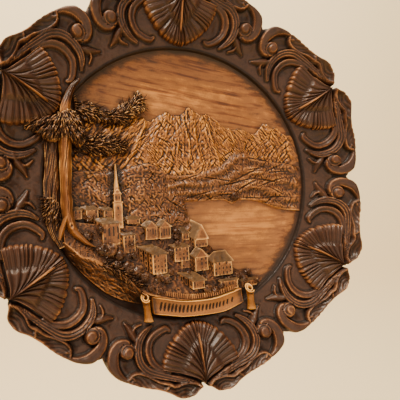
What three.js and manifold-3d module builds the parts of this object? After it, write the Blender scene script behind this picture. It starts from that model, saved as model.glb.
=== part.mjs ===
// A carved wooden wall plaque: a dished round picture of an alpine lake and village, framed by a rim of
// six lobes. Every lobe has a scallop shell, two acanthus leaves, two C scrolls and two volutes, and a
// pine, a rock ledge, a village and a title ribbon stand forward of the picture.
// It is one solid, carved from one blank. The relief is built lying on its back, with heights above the
// wall along +Z and the picture's top towards +Y, and is turned at the end to face -Y with +Z up.
// The origin is the centre of the flat back.
import * as THREE from 'three';
import { mergeVertices } from 'three/addons/utils/BufferGeometryUtils.js';
import { ConvexGeometry } from 'three/addons/geometries/ConvexGeometry.js';
import Module from 'manifold-3d';

const wasm = await Module();
wasm.setup();

// Driving dimensions of the blank, in millimetres.
const lobeCount = 6;
const notchRadius = 186; // to the notch between two lobes
const lipRadius = 139; // to the rim's inner edge, which frames the picture
const footRadius = 125; // flat back that lies on the wall
const edgeThickness = 15; // wood left at the rim's outer edge
const floorHeight = 10; // wood behind the lake and the sky
const filletRun = 27; // the picture's floor curves up over this width to meet the lip
const lipHeight = 22;
const lipStep = 2; // undercut that draws the dark line round the picture
const rimHeight = 38; // the rim's ground at the notch
const hingeHeight = 50; // top of a shell at the edge of the plaque

// Driving dimensions of the carving, in millimetres.
const voluteRise = 5.5;
const voluteWidth = 10.5;
const eyeRadius = 5.6;
const scrollRise = 5;
const scrollWidth = 7.5;
const leafRise = 7;
const shellRise = 8;
const spineRise = 4; // the rib down the middle of a shell stands this much higher
const frillDepth = 1.6; // half the depth of the crimping round a shell
const trunkTop = 31;
const boughTop = 24;
const ledgeTop = 33;
const ribbonTop = 31;
const ribbonThickness = 3;
const spireTop = 21;

const carvingSink = 2.5; // how far a carving's root reaches below the blank's face
const blankSides = 6 * lobeCount;
const halfLobe = Math.PI / lobeCount;
const rimWidth = notchRadius - lipRadius;
const rimSlope = (rimHeight - lipHeight) / rimWidth;

// Heights and places

// Height above the wall of the blank's face: a floor, a fillet up to the lip, and a rising rim.
function groundHeight(radius) {
  if (radius > lipRadius - lipStep) return lipHeight + (radius - lipRadius) * rimSlope;
  const share = Math.max(0, (radius - lipRadius + lipStep + filletRun) / filletRun);
  return floorHeight + share ** 2 * (lipHeight - lipStep - floorHeight);
}

// Height above the wall of the blank's sloping back.
function backHeight(radius) {
  const rise = groundHeight(edgeReach) - edgeThickness;
  return Math.max(0, ((radius - footRadius) / (edgeReach - footRadius)) * rise);
}

// Every carving is rooted a little below the blank's face.
function rooted(x, y) {
  return new THREE.Vector3(x, y, groundHeight(Math.hypot(x, y)) - carvingSink);
}

// A point of a lobe that points along +Y: hundredths of the half lobe's angle and of the rim's width.
function rimPlace(angleShare, widthShare) {
  const angle = (angleShare / 100) * halfLobe;
  const radius = lipRadius + (widthShare / 100) * rimWidth;
  return new THREE.Vector2(radius * Math.sin(angle), radius * Math.cos(angle));
}

// A point of the picture, in hundredths of its radius.
function picturePlace(x, y) {
  return new THREE.Vector2((x / 100) * lipRadius, (y / 100) * lipRadius);
}

// A station is one section of a carving: its middle in plan, its width and the height of its top.
function rimStation([angleShare, widthShare, width, rise], side) {
  const place = rimPlace(angleShare * side, widthShare);
  return { place, width, top: groundHeight(place.length()) + rise };
}

function pictureStation([x, y, width, top]) {
  return { place: picturePlace(x, y), width, top };
}

// Solids

// A closed mesh as a solid for joining and cutting, turned inside out first if its faces point in.
function toSolid(geometry) {
  const bare = geometry.clone();
  bare.deleteAttribute('normal');
  bare.deleteAttribute('uv');
  const merged = mergeVertices(bare, 1e-4);
  const position = merged.attributes.position;
  const triangles = [];
  let volume = 0;
  const corner = [new THREE.Vector3(), new THREE.Vector3(), new THREE.Vector3()];
  for (let i = 0; i < merged.index.count; i += 3) {
    const face = [0, 1, 2].map((k) => merged.index.getX(i + k));
    if (new Set(face).size < 3) continue;
    face.forEach((vertex, k) => corner[k].fromBufferAttribute(position, vertex));
    volume += corner[0].dot(corner[1].clone().cross(corner[2]));
    triangles.push(face);
  }
  if (volume < 0) triangles.forEach((face) => face.reverse());
  return new wasm.Manifold(new wasm.Mesh({
    numProp: 3,
    vertProperties: new Float32Array(position.array),
    triVerts: new Uint32Array(triangles.flat()),
  }));
}

function joined(solids) {
  return solids.reduce((whole, piece) => whole.add(piece));
}

// A closed skin over rings of equal length. Its first and last ring are closed by strips across the ring.
function loft(rings) {
  const size = rings[0].length;
  const points = rings.flat().flatMap((p) => [p.x, p.y, p.z]);
  const last = (rings.length - 1) * size;
  const faces = [];
  for (let r = 0; r + 1 < rings.length; r++) {
    for (let k = 0; k < size; k++) {
      const a = r * size + k;
      const b = r * size + ((k + 1) % size);
      faces.push(a, b, a + size, b, b + size, a + size);
    }
  }
  for (let near = 0, far = size - 1; near + 1 < far; near++, far--) {
    faces.push(near, far, near + 1, last + near, last + near + 1, last + far);
    if (near + 2 < far) {
      faces.push(near + 1, far, far - 1, last + near + 1, last + far - 1, last + far);
    }
  }
  const geometry = new THREE.BufferGeometry();
  geometry.setAttribute('position', new THREE.Float32BufferAttribute(points, 3));
  geometry.setIndex(faces);
  return toSolid(geometry);
}

// A raised band along stations. Its top is a share of its width, and a share of nothing is a ridge.
function strand(stations, steps, topShare) {
  const tops = new THREE.CatmullRomCurve3(
    stations.map((s) => new THREE.Vector3(s.place.x, s.place.y, s.top)));
  const widths = new THREE.SplineCurve(stations.map((s, i) => new THREE.Vector2(i, s.width)));
  const rings = [];
  for (let i = 0; i <= steps; i++) {
    const middle = tops.getPoint(i / steps);
    const rise = Math.max(middle.z - groundHeight(Math.hypot(middle.x, middle.y)), 1.6 * carvingSink);
    const width = widths.getPoint(i / steps).y * (1 + carvingSink / rise);
    const along = tops.getTangent(i / steps);
    const across = new THREE.Vector3(-along.y, along.x, 0).normalize().multiplyScalar(width / 2);
    const top = topShare ? [-topShare, topShare] : [0];
    const left = middle.clone().sub(across);
    const right = middle.clone().add(across);
    rings.push([
      rooted(left.x, left.y),
      ...top.map((share) => middle.clone().addScaledVector(across, share)),
      rooted(right.x, right.y),
    ]);
  }
  return loft(rings);
}

// A raised sheet: rows of surface points, with upright sides down to the root below each point.
function sheet(rows) {
  return loft(rows.map((row) => [...row, ...row.map((p) => rooted(p.x, p.y)).reverse()]));
}

// The convex body over a few top points, with upright sides down to the root below each point.
function planted(points) {
  return toSolid(new ConvexGeometry([...points, ...points.map((p) => rooted(p.x, p.y))]));
}

function spline(points, count) {
  const curve = new THREE.SplineCurve(points);
  return curve.getPoints(count);
}

// The blank

// Half a lobe's edge, from the shell's hinge to the notch, in rim shares.
const halfEdge = [
  [0, 122], [6, 127], [12, 137], [19, 140], [26, 138], [34, 131], [45, 127], [55, 127],
  [65, 126], [74, 125], [82, 122], [90, 115], [96, 107], [100, 100],
];

function plaqueEdge() {
  const half = spline(halfEdge.map(([a, w]) => rimPlace(a, w)), 7);
  const lobe = [...half.slice(1).reverse().map((p) => new THREE.Vector2(-p.x, p.y)), ...half.slice(0, -1)];
  const edge = [];
  for (let i = 0; i < lobeCount; i++) {
    edge.push(...lobe.map((p) => p.clone().rotateAround(new THREE.Vector2(), -2 * halfLobe * i)));
  }
  return edge;
}

const edgeReach = Math.max(...plaqueEdge().map((p) => p.length()));
const blankRadius = edgeReach + 10;

// A turned dish: flat foot, sloping back, sloping rim, lip, and a floor that curves up to the lip.
function turnedDish() {
  const stepRadius = lipRadius - lipStep;
  const face = [1, 0.65, 0].map((share) => stepRadius - (1 - share) * filletRun);
  const profile = [
    [0, 0], [footRadius, 0], [blankRadius, backHeight(blankRadius)],
    [blankRadius, groundHeight(blankRadius)], [lipRadius, lipHeight],
    ...face.map((radius) => [radius, groundHeight(radius)]), [0, floorHeight],
  ];
  const dish = new THREE.LatheGeometry(profile.map(([r, h]) => new THREE.Vector2(r, h)), blankSides);
  dish.rotateX(Math.PI / 2);
  return toSolid(dish);
}

function edgePrism() {
  const prism = new THREE.ExtrudeGeometry(new THREE.Shape(plaqueEdge()), {
    depth: 2 * hingeHeight,
    bevelEnabled: false,
  });
  return toSolid(prism.translate(0, 0, -hingeHeight / 2));
}

// The rim's carving, one lobe

// Bands of one half lobe: angle share, width share, share of the band's width, share of its rise.
const voluteBand = [
  [60, 116, 0.3, 0.4], [70, 116, 0.7, 0.8], [81, 112, 0.9, 1], [89, 103, 1, 1], [93, 86, 1, 1],
  [91, 68, 0.8, 1], [83, 60, 0.6, 0.95], [76, 68, 0.4, 0.9],
];
const scroll = [
  [13, 103, 0.6, 1.2], [30, 97, 0.8, 1.1], [50, 92, 0.9, 1], [65, 78, 1, 1],
  [69, 48, 1, 1], [65, 24, 0.8, 0.8], [57, 12, 0.3, 0.3],
];
const acanthus = [
  [3, 113, 0.6, 1.3], [12, 120, 1, 1.3], [24, 120, 1.2, 1.2], [38, 113, 1.2, 1], [54, 111, 1, 0.8],
  [66, 108, 0.7, 0.6], [75, 108, 0.2, 0.3],
];
const leafWidth = 11;

function band(stations, side, width, rise, steps, topShare) {
  return strand(stations.map(([a, w, widthShare, riseShare]) =>
    rimStation([a, w, widthShare * width, riseShare * rise], side)), steps, topShare);
}

// The knob at the middle of a volute, a low dome.
function voluteEye(side) {
  const { place, top } = rimStation([82, 76, 0, voluteRise * 1.2], side);
  const root = top - voluteRise * 1.2 - 2 * carvingSink;
  const dome = new THREE.LatheGeometry([
    new THREE.Vector2(0, root), new THREE.Vector2(eyeRadius, root),
    new THREE.Vector2(eyeRadius * 0.85, top - 2), new THREE.Vector2(0, top),
  ], 6);
  return toSolid(dome.rotateX(Math.PI / 2).translate(place.x, place.y, 0));
}

// Half a shell's outer edge, from the middle of its frill to its corner beside the hinge.
const halfShell = [[0, 5], [9, 7], [20, 13], [29, 25], [37, 40], [41, 57], [43, 75], [36, 88]];
const shellPleats = 5; // crimps on one half of the shell

// Rows of a shell from its hinge to its frill: reach, height share of the crown, and crimp depth.
const shellRows = [[0.04, 1, 0], [0.72, 0.1, 0.6], [0.84, 0.25, 1], [1, 0, 0.6]];

function shell() {
  const half = spline(halfShell.map(([a, w]) => rimPlace(a, w)), 2 * shellPleats);
  const edge = [...half.slice(1).reverse().map((p) => new THREE.Vector2(-p.x, p.y)), ...half];
  const hinge = rimPlace(0, 114);
  const rows = shellRows.map(([reach, crown, crimp]) => edge.map((outer, i) => {
    const place = new THREE.Vector2(outer.x * 0.1, hinge.y).lerp(outer, reach);
    const ground = groundHeight(place.length());
    const bulge = THREE.MathUtils.lerp(shellRise, hingeHeight - ground, crown);
    const pleat = crimp * frillDepth * (i % 2 ? 1 : -1);
    const spine = i === 2 * shellPleats ? crimp * spineRise : 0;
    const edgeDrop = reach === 1 ? shellRise / 3 : 0;
    return new THREE.Vector3(place.x, place.y, ground + bulge - edgeDrop + pleat + spine);
  }));
  return sheet(rows);
}

function lobeCarving() {
  const pieces = [shell()];
  for (const side of [-1, 1]) {
    pieces.push(
      band(voluteBand, side, voluteWidth, voluteRise, 8, 0.45),
      voluteEye(side),
      band(scroll, side, scrollWidth, scrollRise, 5, 0),
      band(acanthus, side, leafWidth, leafRise, 5, 0),
    );
  }
  return joined(pieces);
}

function rimCarving() {
  const lobe = lobeCarving();
  const turn = 360 / lobeCount;
  return joined(Array.from({ length: lobeCount }, (_, i) => lobe.rotate([0, 0, i * turn])));
}

// The picture: mountains, hills and ground

// Skyline of the far range and the foot it stands on, left to right, in hundredths of the radius.
const skyline = [
  [-80, 44], [-60, 45], [-50, 43], [-41, 45], [-36, 48], [-29, 50], [-24, 46], [-18, 48], [-10, 53],
  [-6, 50], [0, 51], [7, 57], [12, 54], [17, 52], [22, 53], [28, 49], [34, 43], [43, 41], [50, 40],
  [57, 38], [63, 37], [70, 45], [76, 43], [82, 41], [90, 34],
];
const rangeFoot = [
  [-80, 8], [-50, 8], [-29, 12], [-21, 11], [-14, 6], [-6, 3], [8, 4], [22, 8], [32, 11], [40, 18],
  [46, 21], [53, 20], [62, 15], [72, 12], [86, 10], [95, 5],
];
const shore = [
  [-4, -16], [14, -14], [31, -14], [39, -17], [45, -15], [57, -16], [66, -18], [76, -22], [85, -24],
  [95, -27],
];
const hillTop = [
  [-80, 10], [-64, 10], [-53, 10], [-43, 11], [-29, 15], [-21, 13], [-13, 7], [-6, 0], [-1, -8], [0, -15],
];

// Height of the crest or gully that column i of the range runs down.
function crest(i) {
  return [4.4, 1.2, 3.2, 0.6][i % 4];
}

function farRange() {
  const columns = 26;
  const top = spline(skyline.map(([x, y]) => picturePlace(x, y)), columns);
  const foot = spline(rangeFoot.map(([x, y]) => picturePlace(x, y)), columns);
  const rows = [0, 0.45, 1].map((share, row) => top.map((p, i) => {
    const place = p.clone().lerp(foot[i], share);
    return new THREE.Vector3(place.x, place.y, floorHeight + 1.5 + crest(i + row) * (1.1 - 0.3 * share));
  }));
  return sheet(rows);
}

// Wooded slopes right of the picture's middle, from under the range down to the lake's far shore.
function lakeSlopes() {
  const columns = 10;
  const top = spline(rangeFoot.slice(5).map(([x, y]) => picturePlace(x, y + 3)), columns);
  const foot = spline(shore.map(([x, y]) => picturePlace(x, y)), columns);
  const rows = [0, 0.5, 1].map((share, row) => top.map((p, i) => {
    const place = p.clone().lerp(foot[i], share);
    const height = floorHeight + [1.5, 4.6, 3][row] + 0.6 * ((i + row) % 2);
    return new THREE.Vector3(place.x, place.y, height);
  }));
  return sheet(rows);
}

// The wooded hill behind the village, left of the lake.
function villageHill() {
  const columns = 8;
  const top = spline(hillTop.map(([x, y]) => picturePlace(x, y)), columns);
  const rows = [0, 0.5, 1].map((share, row) => top.map((p, i) => {
    const place = p.clone().lerp(picturePlace(-80 + (78 / columns) * i, -45), share);
    return new THREE.Vector3(place.x, place.y, floorHeight + [3.5, 6, 7][row] + 0.7 * ((i + row) % 2));
  }));
  return sheet(rows);
}

// Ground under the village: it climbs towards the viewer, down to the ribbon and the rock ledge.
const groundRows = [
  { y: [-28, -30, -36], x: [-82, -30, 6], height: [22, 17.5, 14] },
  { y: [-40, -42, -48], x: [-84, -30, 12], height: [27, 20, 15] },
  { y: [-53, -58, -64], x: [-72, -22, 24], height: [30, 24, 17] },
  { y: [-64, -72, -76], x: [-58, -8, 50], height: [32, 27, 17] },
  { y: [-80, -86, -79], x: [-38, 4, 54], height: [31, 28, 17] },
];

function villageGround() {
  const rows = groundRows.map(({ x, y, height }) => spline(
    x.map((value, i) => new THREE.Vector2(value, y[i])), 6,
  ).map((p, i) => {
    const rise = THREE.MathUtils.lerp(
      height[Math.floor(i / 3)], height[Math.min(Math.floor(i / 3) + 1, 2)], (i % 3) / 3);
    const place = picturePlace(p.x, p.y);
    return new THREE.Vector3(place.x, place.y, rise);
  }));
  return sheet(rows);
}

// The rock ledge: its upper edge stands proud of the rim, and its face falls back to the floor.
const ledgeEdge = [[-86, -38], [-82, -44], [-76, -49], [-66, -53], [-57, -58], [-49, -64], [-41, -73], [-34, -78]];
const ledgeFoot = [[-87, -42], [-84, -49], [-78, -56], [-71, -65], [-62, -73], [-52, -79], [-43, -82], [-36, -84]];
const ledgeBack = [[-78, -32], [-74, -38], [-68, -42], [-60, -46], [-50, -50], [-42, -56], [-35, -63], [-28, -70]];

function rockLedge() {
  const steps = 9;
  const back = spline(ledgeBack.map(([x, y]) => picturePlace(x, y)), steps);
  const edge = spline(ledgeEdge.map(([x, y]) => picturePlace(x, y)), steps);
  const foot = spline(ledgeFoot.map(([x, y]) => picturePlace(x, y)), steps);
  const middle = edge.map((p, i) => p.clone().lerp(foot[i], 0.5 + 0.12 * (i % 2)));
  const rows = [
    back.map((p) => new THREE.Vector3(p.x, p.y, ledgeTop - 7)),
    edge.map((p, i) => new THREE.Vector3(p.x, p.y, ledgeTop - 1.2 * (i % 2))),
    middle.map((p, i) => new THREE.Vector3(p.x, p.y, ledgeTop - 6 - 2 * (i % 2))),
    foot.map((p) => new THREE.Vector3(p.x, p.y, floorHeight + 4)),
  ];
  return sheet(rows);
}

// The pine

const trunk = [
  [-80, 69, 6, 27], [-81, 58, 8, 31], [-83, 45, 9, 32], [-84, 32, 9, 31], [-84, 15, 8.5, 31],
  [-84, -7, 8, 31], [-84, -22, 8, 32], [-81, -32, 7.5, 33], [-75, -38, 6, 33], [-69, -41, 2, 31],
];
const rearTrunk = [[-91, 32, 7, 26], [-92, 15, 7, 26], [-93, -7, 7, 26], [-92, -29, 7, 27], [-88, -40, 7, 28]];
// Boughs: x, y, width, and height above the drawn bough level.
const boughs = [
  [[-78, 54, 13, 8], [-68, 50, 19, 4], [-58, 48, 15, 1], [-48, 48, 17, 0], [-39, 51, 18, 0], [-32, 57, 14, -1],
    [-27, 65, 3, -3]],
  [[-80, 31, 12, 8], [-70, 27, 17, 3], [-61, 27, 24, 0], [-52, 28, 22, 0], [-45, 29, 14, -1], [-39, 30, 3, -3]],
  [[-106, 39, 7, 18], [-98, 39, 14, 20], [-90, 38, 18, 17], [-82, 41, 24, 13], [-74, 39, 15, 7], [-71, 31, 6, 3]],
  [[-97, -8, 8, 10], [-92, -16, 15, 8], [-93, -25, 14, 8], [-89, -32, 5, 8]],
];

// A bough with a ragged outline: its width swells and shrinks from tuft to tuft.
function bough(stations) {
  const steps = 2 * (stations.length - 1);
  const places = new THREE.CatmullRomCurve3(stations.map(([x, y, , lift]) => new THREE.Vector3(x, y, lift)));
  const widths = new THREE.SplineCurve(stations.map(([, , width], i) => new THREE.Vector2(i, width)));
  const sections = Array.from({ length: steps + 1 }, (_, i) => {
    const { x, y, z } = places.getPoint(i / steps);
    const ragged = i % 2 ? 0.85 : 1.1;
    const width = widths.getPoint(i / steps).y * ragged;
    return pictureStation([x, y, width, boughTop + z - (i % 2)]);
  });
  return strand(sections, steps, 0.55);
}

function pine() {
  return joined([
    strand(trunk.map(pictureStation), 8, 0.5),
    strand(rearTrunk.map(pictureStation), 3, 0),
    ...boughs.map(bough),
  ]);
}

// The village

// A house is drawn by its near upright corner. Its front runs right, its side runs back and left, and the
// whole is squeezed in depth, as carved houses are.
// corner x, y; front, side and wall in hundredths of the radius; roof rise; top height; ridge along front.
const houses = [
  [-62, -43, 12, 6, 15, 2, 25, true], // nave beside the tower
  [-48, -49, 8, 3, 12, 0, 25, true], // flat block right of the nave
  [-31, -41, 18, 1, 8, 5, 21, false], // twin gabled inn, left gable
  [-29, -65, 10, 9, 14, 2, 30, true], // tall block with a hipped roof
  [-12, -58, 11, 3, 10, 2, 24, true], // house behind the square
  [5, -49, 10, 6, 6, 11, 19, false], // villa with the pointed roof
  [-4, -43, 5, 5, 5, 3, 18, true], // lean roof beside the villa
  [3, -66, 10, 3, 10, 6, 25, false], // house with its gable to the street
  [18, -71, 15, 4, 10, 7, 22, true], // big house on the shore
  [-1, -78, 9, 9, 6, 3, 31, true], // long low house
  [-26, -70, 8, 1, 3, 1, 30, true], // shed
  [21, -81, 14, 1, 6, 1, 28, true], // row of stalls above the ribbon
  [40, -81, 13, 2, 4, 1, 21, true], // boat house
  [-7, -63, 8, 1, 6, 1, 23, true], // small bright house
];
const frontRun = new THREE.Vector3(1, 0.02, -0.1);
const sideRun = new THREE.Vector3(-1, 0.6, -0.45);

function houseSolid([x, y, front, side, wall, roof, top, ridgeAlongFront]) {
  const unit = lipRadius / 100;
  const along = frontRun.clone().multiplyScalar(front * unit);
  const back = sideRun.clone().multiplyScalar(side * unit);
  const near = new THREE.Vector3(x * unit, y * unit, top);
  const corner = (a, b, height) => near.clone().addScaledVector(along, a).addScaledVector(back, b)
    .add(new THREE.Vector3(0, height * unit, 0));
  const ridge = ridgeAlongFront
    ? [corner(0.08, 0.5, wall + roof), corner(0.92, 0.5, wall + roof)]
    : [corner(0.5, 0, wall + roof), corner(0.5, 1, wall + roof)];
  const points = [ridge[0], ridge[1]];
  for (const a of [0, 1]) {
    for (const b of [0, 1]) points.push(corner(a, b, 0), corner(a, b, wall));
  }
  return planted(points);
}

// The church tower, square to the viewer's left, with a belfry gable and a tall spire.
const towerX = -50.5;
function churchTower() {
  const tower = houseSolid([towerX - 2, -30, 4.5, 1.5, 24, 0, spireTop + 2, true]);
  const belfry = houseSolid([towerX - 2.5, -8, 5.5, 1.5, 4, 3, spireTop + 2, false]);
  const tip = picturePlace(towerX, 14);
  const base = [[-2, -5], [0.4, -5.6], [2.4, -5]].map(([x, y]) => picturePlace(towerX + x, y));
  const spirePoints = [
    new THREE.Vector3(tip.x, tip.y, spireTop - 3),
    new THREE.Vector3(base[0].x, base[0].y, spireTop - 1),
    new THREE.Vector3(base[1].x, base[1].y, spireTop + 1),
    new THREE.Vector3(base[2].x, base[2].y, spireTop - 1),
  ];
  return joined([tower, belfry, planted(spirePoints)]);
}

// Round trees: x, y, radius in hundredths, top height.
const roundTrees = [[-58, -48, 6, 32], [-47, -60, 6, 32], [-38, -66, 5, 32], [41, -12, 3, 16], [12, -80, 3, 30], [17, -81, 3, 31],
  [-9, -36, 2.5, 18]];

function roundTree([x, y, radius, top]) {
  const size = (radius / 100) * lipRadius;
  const place = picturePlace(x, y);
  const rings = [[1, 0.9], [0.55, 0.25], [0, 0]];
  const points = rings.flatMap(([reach, drop], row) => Array.from({ length: 6 }, (_, k) => {
    const angle = ((k + row / 2) * Math.PI) / 3;
    return new THREE.Vector3(
      place.x + reach * size * Math.cos(angle), place.y + reach * size * Math.sin(angle), top - drop * size);
  }));
  return planted(points);
}

function village() {
  return joined([...houses.map(houseSolid), churchTower(), ...roundTrees.map(roundTree)]);
}

// The title ribbon: a band that follows the lip, with a rolled end on each side.
const ribbonUpper = [[-30, -80], [-21, -82.5], [-11, -85], [0, -86], [11, -86], [22, -84.5], [35, -81]];
const ribbonLower = [[-29, -92], [-20, -94], [-9, -96], [2, -96.5], [13, -96.5], [24, -95.5], [36, -91]];
const ribbonRolls = [
  [[-36.5, -80, 0.8], [-35.5, -85, 1], [-34, -91, 0.9], [-33, -96, 1.1]],
  [[41, -81, 1.2], [42, -86, 0.9], [43.5, -91, 1], [45, -97, 1.2]],
];
const rollWidth = 8;

function titleRibbon() {
  const steps = 8;
  const upper = spline(ribbonUpper.map(([x, y]) => picturePlace(x, y)), steps);
  const lower = spline(ribbonLower.map(([x, y]) => picturePlace(x, y)), steps);
  const rows = [upper, lower].map((edge, row) => edge.map((p, i) => {
    const bow = Math.sin((Math.PI * i) / steps);
    return new THREE.Vector3(p.x, p.y, ribbonTop - ribbonThickness * (1 - bow) - row);
  }));
  const rolls = ribbonRolls.map((roll) => strand(roll.map(([x, y, share]) =>
    pictureStation([x, y, share * rollWidth, ribbonTop + 2])), 3, 0.45));
  return joined([sheet(rows), ...rolls]);
}

// The plaque

function plaqueSolid() {
  return joined([
    turnedDish().intersect(edgePrism()), rimCarving(), farRange(), lakeSlopes(), villageHill(),
    villageGround(), rockLedge(), pine(), village(), titleRibbon(),
  ]);
}

function toGeometry(solid) {
  const { vertProperties, triVerts, numProp } = solid.getMesh();
  const points = new Float32Array((vertProperties.length / numProp) * 3);
  for (let i = 0; i < points.length / 3; i++) {
    for (let k = 0; k < 3; k++) points[3 * i + k] = vertProperties[i * numProp + k];
  }
  const geometry = new THREE.BufferGeometry();
  geometry.setAttribute('position', new THREE.BufferAttribute(points, 3));
  geometry.setIndex(new THREE.BufferAttribute(new Uint32Array(triVerts), 1));
  geometry.computeVertexNormals();
  return geometry;
}

const stainedWood = new THREE.MeshStandardMaterial({ color: 0x6b4226, roughness: 0.5, metalness: 0 });

const plaque = new THREE.Mesh(toGeometry(plaqueSolid()), stainedWood);
plaque.name = 'plaque';
plaque.rotation.x = Math.PI / 2;

const wallPlaque = new THREE.Group();
wallPlaque.add(plaque);

export default wallPlaque;
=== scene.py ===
import bpy
import bmesh
import math
import numpy as np
from mathutils import Matrix, Vector


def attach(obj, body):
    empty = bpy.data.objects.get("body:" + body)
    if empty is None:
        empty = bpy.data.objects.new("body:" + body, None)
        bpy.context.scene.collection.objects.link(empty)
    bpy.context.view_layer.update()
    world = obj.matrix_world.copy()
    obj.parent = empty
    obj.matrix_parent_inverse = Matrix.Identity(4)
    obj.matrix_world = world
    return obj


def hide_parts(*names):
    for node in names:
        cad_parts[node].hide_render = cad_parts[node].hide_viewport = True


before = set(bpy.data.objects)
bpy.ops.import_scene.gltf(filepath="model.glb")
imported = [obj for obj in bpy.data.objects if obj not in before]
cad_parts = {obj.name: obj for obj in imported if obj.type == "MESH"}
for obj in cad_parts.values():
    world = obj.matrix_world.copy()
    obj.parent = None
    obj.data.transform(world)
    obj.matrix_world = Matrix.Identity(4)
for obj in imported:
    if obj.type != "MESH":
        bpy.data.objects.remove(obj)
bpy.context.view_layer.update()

# The carving is worked out lying on its back: x to the right, y up the picture, h out of the wall, in mm.
# Edges and paths of the picture are rows of x and y in hundredths of the lip's radius.
blank = {
    "lobes": 6, "notch": 186.0, "lip": 139.0, "lipStep": 2.0, "foot": 125.0, "reach": 204.0, "edge": 15.0,
    "floor": 10.0, "fillet": 27.0, "sweepStart": 110, "sweep": 29, "sweepRise": 8.0,
    "lipHeight": 22.0, "rimHeight": 38.0, "hinge": 50.0, "fadeRun": 10, "leastFade": 0.06,
}
halfLobe = math.pi / blank["lobes"]
unit = blank["lip"] / 100
rimWidth = blank["notch"] - blank["lip"]
rimSlope = (blank["rimHeight"] - blank["lipHeight"]) / rimWidth
pieces = []


def bell(d, width=1.0):  # 1 in the middle, dying away on both sides
    return np.exp(-(d / width) ** 2)


def ramp(v, run=1.0):  # 0 to 1 over the run
    return np.clip(v / run, 0, 1)


def groundHeight(r):
    slope = blank["lipHeight"] + (r - blank["lip"]) * rimSlope
    inside = blank["lip"] - blank["lipStep"]
    share = np.clip((r - inside + blank["fillet"]) / blank["fillet"], 0, None)
    dish = blank["floor"] + share ** 2 * (blank["lipHeight"] - blank["lipStep"] - blank["floor"])
    return np.where(r > inside, slope, dish)


def backHeight(r):
    rise = groundHeight(blank["reach"]) - blank["edge"]
    return np.clip((r - blank["foot"]) / (blank["reach"] - blank["foot"]), 0, None) * rise


def dishHeight(x, y):  # the picture's ground, a sweep that ends a step below the lip
    share = ramp(np.hypot(x, y) - blank["sweepStart"], blank["sweep"])
    return blank["floor"] + share ** 2 * blank["sweepRise"]


def onDish(x, y, relief):  # relief on the dish, dying away towards the lip
    fade = np.clip((blank["lip"] + 0.5 - np.hypot(x, y)) / blank["fadeRun"], blank["leastFade"], 1) ** 0.7
    return dishHeight(x, y) + relief * fade


def smoothPath(points, count):
    p = np.asarray(points, float)
    t = np.linspace(0, len(p) - 1, count)
    i = np.minimum(t.astype(int), len(p) - 2)
    f = (t - i)[:, None]
    a, b, c, d = p[np.maximum(i - 1, 0)], p[i], p[i + 1], p[np.minimum(i + 2, len(p) - 1)]
    bend, twist = 2 * a - 5 * b + 4 * c - d, 3 * b - a - 3 * c + d
    return 0.5 * (2 * b + (c - a) * f + bend * f ** 2 + twist * f ** 3)


def rimPath(points, count):  # hundredths of the half lobe's angle and of the rim's width
    angle, width = np.asarray(points, float).T / 100
    r = blank["lip"] + width * rimWidth
    return smoothPath(np.column_stack([r * np.sin(angle * halfLobe), r * np.cos(angle * halfLobe)]), count)


def picturePath(points, count=60):  # any further columns stay in mm
    p = np.asarray(points, float)
    return smoothPath(np.column_stack([p[:, :2] * unit, p[:, 2:]]), count)


def nearPath(x, y, path):  # signed distance to a path, how far along it, and the path's other columns there
    q = np.stack([x.ravel(), y.ravel()], 1)
    a, step = path[:-1, :2], path[1:, :2] - path[:-1, :2]
    best = np.full(len(q), 1e9)
    segment = np.zeros(len(q), int)
    share = np.zeros(len(q))
    for k in range(len(a)):
        f = np.clip(((q - a[k]) @ step[k]) / max(step[k] @ step[k], 1e-9), 0, 1)
        d = ((q - a[k] - f[:, None] * step[k]) ** 2).sum(1)
        closer = d < best
        best[closer], segment[closer], share[closer] = d[closer], k, f[closer]
    off = q - a[segment] - share[:, None] * step[segment]
    side = np.sign(step[segment, 0] * off[:, 1] - step[segment, 1] * off[:, 0])
    side[side == 0] = 1
    columns = path[segment] + (path[segment + 1] - path[segment]) * share[:, None]
    along = (segment + share) / (len(path) - 1)
    others = [columns[:, k].reshape(x.shape) for k in range(2, path.shape[1])]
    return (np.sqrt(best) * side).reshape(x.shape), along.reshape(x.shape), others


def blendCells(table, i, j, fu, fv):  # between four neighbouring cells of a table that wraps round
    i, nextI, j, nextJ = (k % len(table) for k in (i, i + 1, j, j + 1))
    low = table[i, j] * (1 - fu) + table[nextI, j] * fu
    high = table[i, nextJ] * (1 - fu) + table[nextI, nextJ] * fu
    return low * (1 - fv) + high * fv


def softNoise(x, y, size, seed):  # smooth random field between -1 and 1
    table = np.random.default_rng(seed).uniform(-1, 1, (64, 64))
    u, v = x / size, y / size
    i, j = np.floor(u).astype(int), np.floor(v).astype(int)
    fu, fv = u - i, v - j
    return blendCells(table, i, j, fu * fu * (3 - 2 * fu), fv * fv * (3 - 2 * fv))


def layeredNoise(x, y, size, seed, layers=3):
    return sum(softNoise(x, y, size / 2 ** k, seed + k) / 2 ** k for k in range(layers))


def ridges(x, y, size, seed, layers):  # sharp crests with gullies between
    total = 0
    for k in range(layers):
        total = total + (1 - np.abs(softNoise(x, y, size / 1.9 ** k, seed + k)) * 2) / 1.7 ** k
    return total / 2


def cutStrokes(x, y, h, strokes, depth, width):  # gouge cuts: rows of x, y, direction and length
    for cx, cy, turn, length in strokes:
        near = (abs(x - cx) < length) & (abs(y - cy) < length)
        if not near.any():
            continue
        dx, dy = x[near] - cx, y[near] - cy
        along = dx * math.cos(turn) + dy * math.sin(turn)
        across = -dx * math.sin(turn) + dy * math.cos(turn) + 0.06 * along ** 2 / length
        h[near] -= depth * np.clip(1 - (2 * along / length) ** 2, 0, 1) * bell(across, width)


def about(turns, spread):  # one of the directions, give or take
    return lambda rng: rng.choice(turns) + rng.normal(0, spread)


def anyWay(rng):
    return rng.uniform(0, math.pi)


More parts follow.
